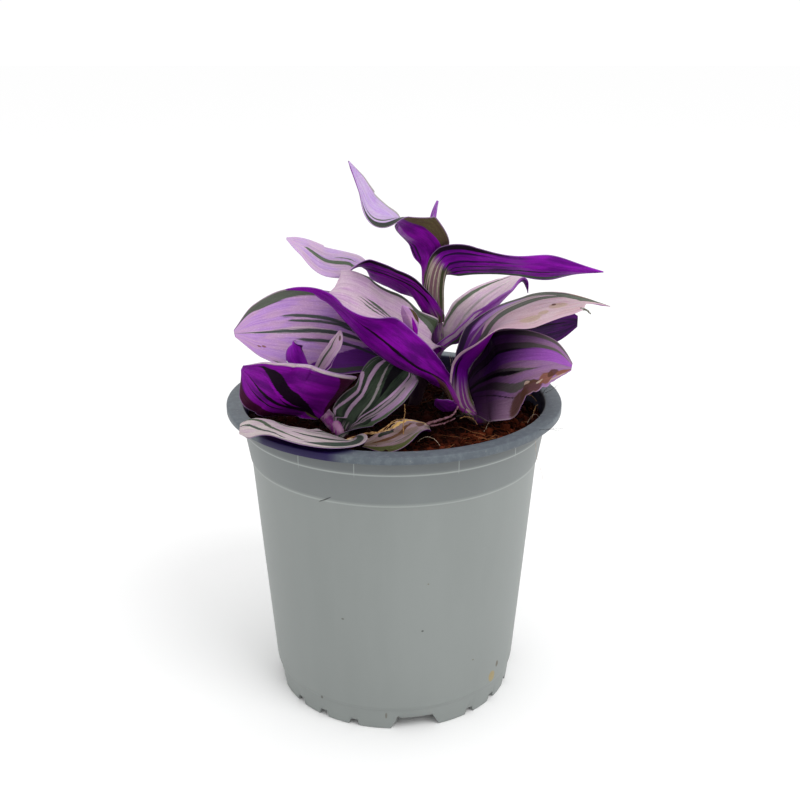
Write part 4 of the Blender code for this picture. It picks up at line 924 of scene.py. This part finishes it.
def wall_material():
    s = Shade("pot_outside")
    place = s.place()
    streak = s.noise(s.scaled(place, 60, 60, 14), 1.0, 3.0)
    dust = s.noise(place, 900.0, 3.0, 0.7)
    grey = s.mix(s.ramp(streak, 0.3, 0.7), srgb(126, 131, 129), srgb(130, 135, 133))
    grey = s.mix(s.ramp(dust, 0.66, 0.8, 0.0, 0.3), grey, srgb(104, 96, 90))
    height = s.split(place)[2]
    # painted shade: the bands under the rim are darker
    for low, high, shade in BAND_SHADES:
        grey = s.mix(s.ramp(height, low, high), grey, s.times(grey, shade))
    # painted highlights: bright lines along the ring edges
    for line in RING_HIGHLIGHTS:
        near = s.math("ABSOLUTE", s.math("SUBTRACT", height, line))
        grey = s.mix(s.ramp(near, 0.0002, 0.0005, 0.7, 0.0), grey, srgb(150, 156, 153))
    for tone, x, z, wide, tall, lean in MARKS:
        dx, dy, dz = s.split(s.vector("SUBTRACT", place, (x * MM, 0, z * MM))[0])
        upright = s.math("MULTIPLY_ADD", dx, -lean, dz)
        far = s.squares(s.math("MULTIPLY", dx, 1 / (wide * MM)),
                        s.math("MULTIPLY", upright, 1 / (tall * MM)))
        far = s.math("ADD", far, s.ramp(dy, -0.01, 0.0, 0.0, 4.0))
        far = s.math("ADD", far, s.math("MULTIPLY", dust, 0.8))
        grey = s.mix(s.ramp(far, 0.9, 1.5, 0.85, 0.0), grey, tone)
    return s.skin(Base_Color=grey, Roughness=s.ramp(streak, 0.3, 0.7, 0.44, 0.5),
                  Specular_IOR_Level=0.4, Normal=s.bump(s.noise(place, 2600.0), 0.12, 0.0001))


def rim_material():
    s = Shade("pot_rim_inside")
    place = s.place()
    worn = s.noise(place, 500.0, 4.0, 0.65)
    slate = s.mix(s.ramp(worn, 0.4, 0.7), srgb(84, 91, 98), srgb(96, 104, 110))
    slate = s.mix(s.ramp(s.noise(place, 1400.0), 0.66, 0.76, 0, 0.5), slate, srgb(140, 140, 136))
    reach = s.vector("LENGTH", s.scaled(place, 1, 1, 0))["Value"]
    slate = s.mix(s.ramp(reach, 0.0541, 0.0546), srgb(26, 20, 44), slate)
    near = s.scaled(s.vector("SUBTRACT", place, (-0.031, -0.049, 0.1104))[0], 1.0, 2.0, 1.0)
    near = s.vector("LENGTH", near)["Value"]  # shade of the leaf that lies over the rim
    slate = s.mix(s.ramp(near, 0.017, 0.025, 1.0, 0.0), slate, srgb(28, 16, 64))
    return s.skin(Base_Color=slate, Roughness=0.45, Specular_IOR_Level=0.2,
                  Normal=s.bump(worn, 0.15, 0.0001))


def make_pot():
    notch_at, notch_high = zip(*foot_notches())
    even = [360 * k / POT_SIDES for k in range(POT_SIDES)]
    clear = [a for a in even if min(abs(a - s) for s in notch_at) > NOTCH_CLEAR]
    degs = sorted(clear + list(notch_at))
    edge = np.interp(degs, notch_at, notch_high, period=360)
    profile = POT_LINE + POT_UNDER
    n = len(degs)
    rings, verts = [], []
    for k, (r, z) in enumerate(profile):
        if r == 0:
            rings.append([len(verts)] * n)
            verts.append((0, 0, z))
            continue
        rings.append(list(range(len(verts), len(verts) + n)))
        lift = np.zeros(n)
        if k in (0, len(profile) - 1):  # the edges that follow the notches
            lift = edge
        elif k == 1:
            lift = np.maximum(edge + 0.15 - z, 0)
        spread = FOOT_SPREAD if k == 0 else 0
        for a, h in zip(np.radians(degs), lift):
            reach = r * (1 + h * spread)
            verts.append((reach * math.sin(a), -reach * math.cos(a), z + h))
    faces, mats = [], []
    for k, (low, high) in enumerate(zip(rings, rings[1:] + rings[:1])):
        for q in range(n):
            m = (q + 1) % n
            loop = [low[q], low[m], high[m], high[q]]
            loop = [v for i, v in enumerate(loop) if v != loop[i - 1]]
            if len(loop) > 2:
                faces.append(loop)
                mats.append(int(k in RIM_STEPS))
    ob = mesh_piece("pot_fine", verts, faces, [wall_material(), rim_material()], mats, node="pot")
    cut_drains(ob)
    ob.data.set_sharp_from_angle(angle=math.radians(SHARP))


def cut_drains(pot):
    """Cuts the round drain holes through the gutter's floor."""
    verts, faces, sides = [], [], DRAIN_SIDES
    for k in range(DRAINS):
        mid, base = 2 * math.pi * (k + 0.5) / DRAINS, len(verts)
        for z in GUTTER:
            x, y = DRAIN_AT_R * math.cos(mid), DRAIN_AT_R * math.sin(mid)
            verts += circle(DRAIN_R, z, sides, x, y)
        faces += between(base, base + sides, sides)
        faces += [tuple(range(base + sides - 1, base - 1, -1)),
                  tuple(range(base + sides, base + 2 * sides))]
    mesh = bpy.data.meshes.new("drain_cuts")
    mesh.from_pydata((np.array(verts) * MM).tolist(), [], faces)
    tool = bpy.data.objects.new("drain_cuts", mesh)
    bpy.context.scene.collection.objects.link(tool)
    mod = pot.modifiers.new("drains", "BOOLEAN")
    mod.operation, mod.solver, mod.object = "DIFFERENCE", "EXACT", tool
    graph = bpy.context.evaluated_depsgraph_get()
    pot.data = bpy.data.meshes.new_from_object(pot.evaluated_get(graph))
    pot.modifiers.clear()
    bpy.data.objects.remove(tool)


make_pot()


# --- soil
SOIL_R, SOIL_RINGS, SOIL_SIDES = 53.1, 46, 150
SOIL_WALL = [(53.0, 101.8), (50.7, 90), (43.9, 9.6), (43.0, 6.9), (26.0, 6.9), (24.2, 1.6)]
CRUMBS, CRUMB_R, FIBRES, FIBRE_R = 3600, 52.6, 1500, 52.4
CLODS = [  # crumbs stuck to the pot's foot and rim: x, y, z and size
    (28.6, -28.2, 1.6, 1.3), (30, -26.4, 1.0, 0.8), (27.2, -29.8, 0.9, 0.6),
    (18.9, -35.2, 0.5, 0.6), (36.4, -16.2, 11.8, 0.5), (-31.6, -24.6, 1.2, 0.7),
]
PHI = (1 + 5**0.5) / 2
# A crumb starts as an icosahedron
CRUMB = unit(np.array([np.roll((a, b, 0), turn) for turn in range(3)
                       for b in (PHI, -PHI) for a in (-1, 1)]))
CRUMB_FACES = [
    (0, 11, 5), (0, 5, 1), (0, 1, 7), (0, 7, 10), (0, 10, 11), (1, 5, 9), (5, 11, 4), (11, 10, 2),
    (10, 7, 6), (7, 1, 8), (3, 9, 4), (3, 4, 2), (3, 2, 6), (3, 6, 8), (3, 8, 9), (4, 9, 5),
    (2, 4, 11), (6, 2, 10), (8, 6, 7), (9, 8, 1)]


def soil_material():
    s = Shade("coir_mix")
    place = s.place()
    tint = s.attr("tint")
    lump = s.ramp(s.noise(place, 800.0, 4.0, 0.75), 0.35, 0.65)
    colour = s.mix(lump, srgb(14, 5, 4), srgb(64, 26, 14))
    colour = s.mix(s.ramp(tint, 0.0, 1.0), colour, srgb(116, 52, 30))
    colour = s.mix(s.ramp(tint, 0.88, 1.0), colour, srgb(168, 118, 78))
    x, y, _ = s.split(place)
    # painted shade: the mix is dark everywhere but the lit front right
    lit = s.math("SUBTRACT", s.math("MULTIPLY", x, 0.9), y)
    colour = s.mix(s.ramp(lit, 0.034, 0.06), s.times(colour, (0.12, 0.08, 0.09)), colour)
    return s.skin(Base_Color=colour, Roughness=0.9, Specular_IOR_Level=0.04,
                  Normal=s.bump(s.noise(place, 1500.0, 3.0), 0.6, 0.0005))


def crumbs_and_fibres():
    """Coir crumbs and fibres that lie on the mix, fused into one mesh."""
    verts, faces, tint = [], [], []

    def add(v, f, t):
        base = len(tint)
        verts.append(v)
        faces.extend([tuple(i + base for i in face) for face in f])
        tint.extend([t] * len(v))

    for x, y, z, size in CLODS:
        rough = CRUMB * (1 + 0.3 * RNG.standard_normal((12, 1))) * size
        add(rough + (x, y, z), CRUMB_FACES, 0.1 + 0.3 * RNG.random())
    for _ in range(CRUMBS):
        r, a = CRUMB_R * math.sqrt(RNG.random()), RNG.random() * 2 * math.pi
        size = 0.35 + 1.5 * RNG.random() ** 3
        rough = CRUMB * (1 + 0.35 * RNG.standard_normal((12, 1)))
        rough = rough * (RNG.random(3) * 0.8 + 0.5) * size
        z = 103.0 + RNG.random() * 0.9 - 0.4 * smooth(44, 53, r)
        add(rough + (r * math.cos(a), r * math.sin(a), z), CRUMB_FACES, RNG.random() * 0.75)
    for _ in range(FIBRES):
        r, a = 50 * math.sqrt(RNG.random()), RNG.random() * 2 * math.pi
        length = 3 + 11 * RNG.random() ** 2
        heading, bend = RNG.random() * 2 * math.pi, RNG.normal() * 0.6
        line = [np.array([r * math.cos(a), r * math.sin(a), 103.6 + RNG.random() * 0.7])]
        for _ in range(5):
            heading += bend * 0.5 + RNG.normal() * 0.2
            step = np.array([math.cos(heading), math.sin(heading), RNG.normal() * 0.22])
            line.append(line[-1] + step * length / 5)
        line = np.array(line)
        line[:, :2] *= (FIBRE_R / np.maximum(np.hypot(line[:, 0], line[:, 1]), FIBRE_R))[:, None]
        line[:, 2] = np.clip(line[:, 2], 103.2, 105.4)
        v, f = tube(line, [0.06 + 0.09 * RNG.random()] * 6, 3)
        add(v, f, 0.5 + 0.5 * RNG.random())
    return np.concatenate(verts), faces, tint


def make_soil():
    verts = [(0, 0, 103.5)]
    for i in range(1, SOIL_RINGS + 1):
        r = SOIL_R * i / SOIL_RINGS
        for x, y, _ in circle(r, 0, SOIL_SIDES):
            z = (103.3 + 0.45 * math.sin(x * 0.31 + 1) * math.cos(y * 0.27)
                 + 0.35 * RNG.normal() * (r < 52) - 0.9 * smooth(46, 53, r))
            verts.append((x, y, z))
    for r, z in SOIL_WALL:
        verts += circle(r, z, SOIL_SIDES)
    last = len(verts) - SOIL_SIDES
    faces = [(0, 1 + k, 1 + (k + 1) % SOIL_SIDES) for k in range(SOIL_SIDES)]
    for low in range(1, last, SOIL_SIDES):
        faces += between(low, low + SOIL_SIDES, SOIL_SIDES, flip=True)
    faces.append(tuple(range(len(verts) - 1, last - 1, -1)))
    mat = soil_material()
    mesh_piece("soil_fine", verts, faces, [mat], points={"tint": [0.0] * len(verts)}, node="soil")
    verts, faces, tint = crumbs_and_fibres()
    ob = mesh_piece("coir_crumbs", verts, faces, [mat], points={"tint": tint})


# --- dry strips, roots and hairs
# Per tone: its colour, then for each string its radius and the points it runs through
STRINGS = {
    "gold": (srgb(176, 136, 84), [
        (0.32, (-16, -34.5, 106.4), (-11, -32.5, 107.6), (-6, -30, 107.4), (-2, -25, 108.2),
         (3.5, -17, 107.6)),
        (0.22, (-15, -35.5, 106), (-9, -32, 108), (-4, -28.5, 107.2), (1, -21, 108.8),
         (4.4, -17.6, 106.8)),
        (0.26, (3.5, -28, 103.6), (3.2, -28, 109), (3.7, -27.8, 113), (3.6, -28, 116.8)),
        (0.16, (45, 4, 104.4), (49.6, 9, 107.6), (52, 4, 106.8)),
        (0.14, (49, -8, 104.4), (50.6, -4, 107), (52.4, 2, 106)),
        (0.18, (23, -16, 107.4), (26.4, -17.6, 108.4), (29, -18.6, 106))]),
    "pale": (srgb(196, 180, 160), [
        (0.45, (-19, -37, 106.6), (-14.5, -35.2, 106.9), (-10, -33.6, 106.5), (-5, -31.5, 106.2)),
        (0.14, (8, -31, 104.4), (12, -33, 107), (15.5, -36, 105)),
        (0.05, (46.6, -39.2, 108), (47.4, -39.6, 102), (49.6, -38, 95), (50, -37, 87),
         (49.6, -36.4, 81)),
        (0.12, (47, -12, 104.2), (50, -10, 106.8), (51.6, -13, 105)),
        (0.1, (31, -20, 103.8), (32.6, -20.6, 107.4), (33.4, -21, 109.6)),
        (0.07, (20, -6, 112), (20.6, -3, 119), (19.6, 2, 126)),
        (0.06, (21, -4, 110), (22, 0, 117), (20.6, 5, 124))]),
    "dark": (srgb(34, 24, 24), [
        (0.1, (53.5, 1, 110), (57, 4, 112.4), (59.4, 5, 110.9)),
        (0.08, (55, 3, 110.4), (58, 3.6, 112), (60, 6.6, 112.4)),
        (0.08, (48, -35, 110.2), (51.6, -36.6, 111), (54.6, -37, 110.8)),
        (0.06, (50.6, -36.2, 111), (53.6, -37.4, 111.8), (56, -36.4, 111.4)),
        (0.3, (22, -14.6, 107.6), (24.2, -16.4, 109.4), (25, -16.2, 111.2)),
        (0.5, (20, 9.5, 103), (21.6, 8, 112), (20.4, 9, 121)),
        (0.4, (23, 8, 103), (23.6, 6, 110), (22, 7, 118)),
        (0.3, (17, 7, 103), (18, 5, 111), (19.4, 6, 119)),
        (0.22, (25.6, 6, 103), (24.4, 4, 112), (22.6, 6, 123))]),
    "husk": (srgb(128, 86, 102), [
        (0.6, (11.2, -20.4, 107), (15.9, -20, 108.4), (20, -20, 110), (22, -19, 113)),
        (0.35, (12.5, -21, 106.6), (17, -21, 107.4), (21, -21, 109.4))]),
    "sage": (srgb(128, 132, 122), [
        (0.42, (62.8, -16.7, 146.9), (64.6, -17.5, 146.7), (65.9, -18.5, 145.5))]),
}
STRING_RINGS, STRING_SIDES = 28, 7


def string_material(tone, colour):
    s = Shade("dry_" + tone)
    mottle = s.ramp(s.noise(s.place(), 900.0), 0.4, 0.6)
    colour = s.mix(mottle, colour, s.times(colour, (0.5, 0.42, 0.36)))
    return s.skin(Base_Color=colour, Roughness=0.7)


def make_strings():
    for tone, (colour, rows) in STRINGS.items():
        verts, faces = [], []
        for radius, *points in rows:
            points = np.array(points, float)
            at = np.linspace(0, 1, STRING_RINGS)
            line = along(knots_of(points)[0], points, False, at)
            line[1:-1] += RNG.normal(size=(STRING_RINGS - 2, 3)) * 0.09
            radii = radius * (0.75 + 0.4 * np.sin(at * 21) ** 2) * (1 - 0.5 * at)
            string, quads = tube(line, radii, STRING_SIDES)
            base = sum(map(len, verts))
            faces += [tuple(i + base for i in face) for face in quads]
            verts.append(string)
        mat = string_material(tone, colour)
        mesh_piece("dry_strings_" + tone, np.concatenate(verts), faces, [mat])


make_soil()
make_strings()


# --- floor, light, camera
FLOOR_HALF, FLOOR_Z = 6, -0.0002
WORLD_STRENGTH = 1.02
KEY_AT, KEY_AIM, KEY_SIZE, KEY_WATTS = (0.55, -0.6, 1.0), (0, 0, 0.1), 0.7, 5.0
LENS, SENSOR = 49.5, 36
CAMERA_AT, CAMERA_DOWN = (0.0021, -0.3763, 0.2387), 19.06


def make_stage():
    corners = [(-1, -1), (1, -1), (1, 1), (-1, 1)]
    mesh = bpy.data.meshes.new("floor")
    corners = [(x * FLOOR_HALF, y * FLOOR_HALF, FLOOR_Z) for x, y in corners]
    mesh.from_pydata(corners, [], [(0, 1, 2, 3)])
    s = Shade("floor_white")
    mesh.materials.append(s.skin(Base_Color=(0.97, 0.97, 0.97, 1), Roughness=0.9,
                                 Specular_IOR_Level=0.0))
    ob = bpy.data.objects.new("floor", mesh)
    bpy.context.scene.collection.objects.link(ob)


def make_light():
    world = bpy.data.worlds.new("studio")
    world.use_nodes = True
    world.node_tree.nodes["Background"].inputs[0].default_value = (1, 1, 1, 1)
    world.node_tree.nodes["Background"].inputs[1].default_value = WORLD_STRENGTH
    bpy.context.scene.world = world
    data = bpy.data.lights.new("key", "AREA")
    data.shape, data.size, data.energy = "DISK", KEY_SIZE, KEY_WATTS
    ob = bpy.data.objects.new("key", data)
    ob.location = KEY_AT
    ob.rotation_euler = (Vector(KEY_AIM) - Vector(KEY_AT)).to_track_quat("-Z", "Y").to_euler()
    bpy.context.scene.collection.objects.link(ob)


def make_camera():
    data = bpy.data.cameras.new("camera")
    data.lens, data.sensor_width = LENS, SENSOR
    ob = bpy.data.objects.new("camera", data)
    ob.location = CAMERA_AT
    ob.rotation_euler = (math.radians(90 - CAMERA_DOWN), 0, 0)
    bpy.context.scene.collection.objects.link(ob)
    bpy.context.scene.camera = ob


make_stage()
make_light()
make_camera()
bpy.context.scene.view_settings.view_transform = "Standard"
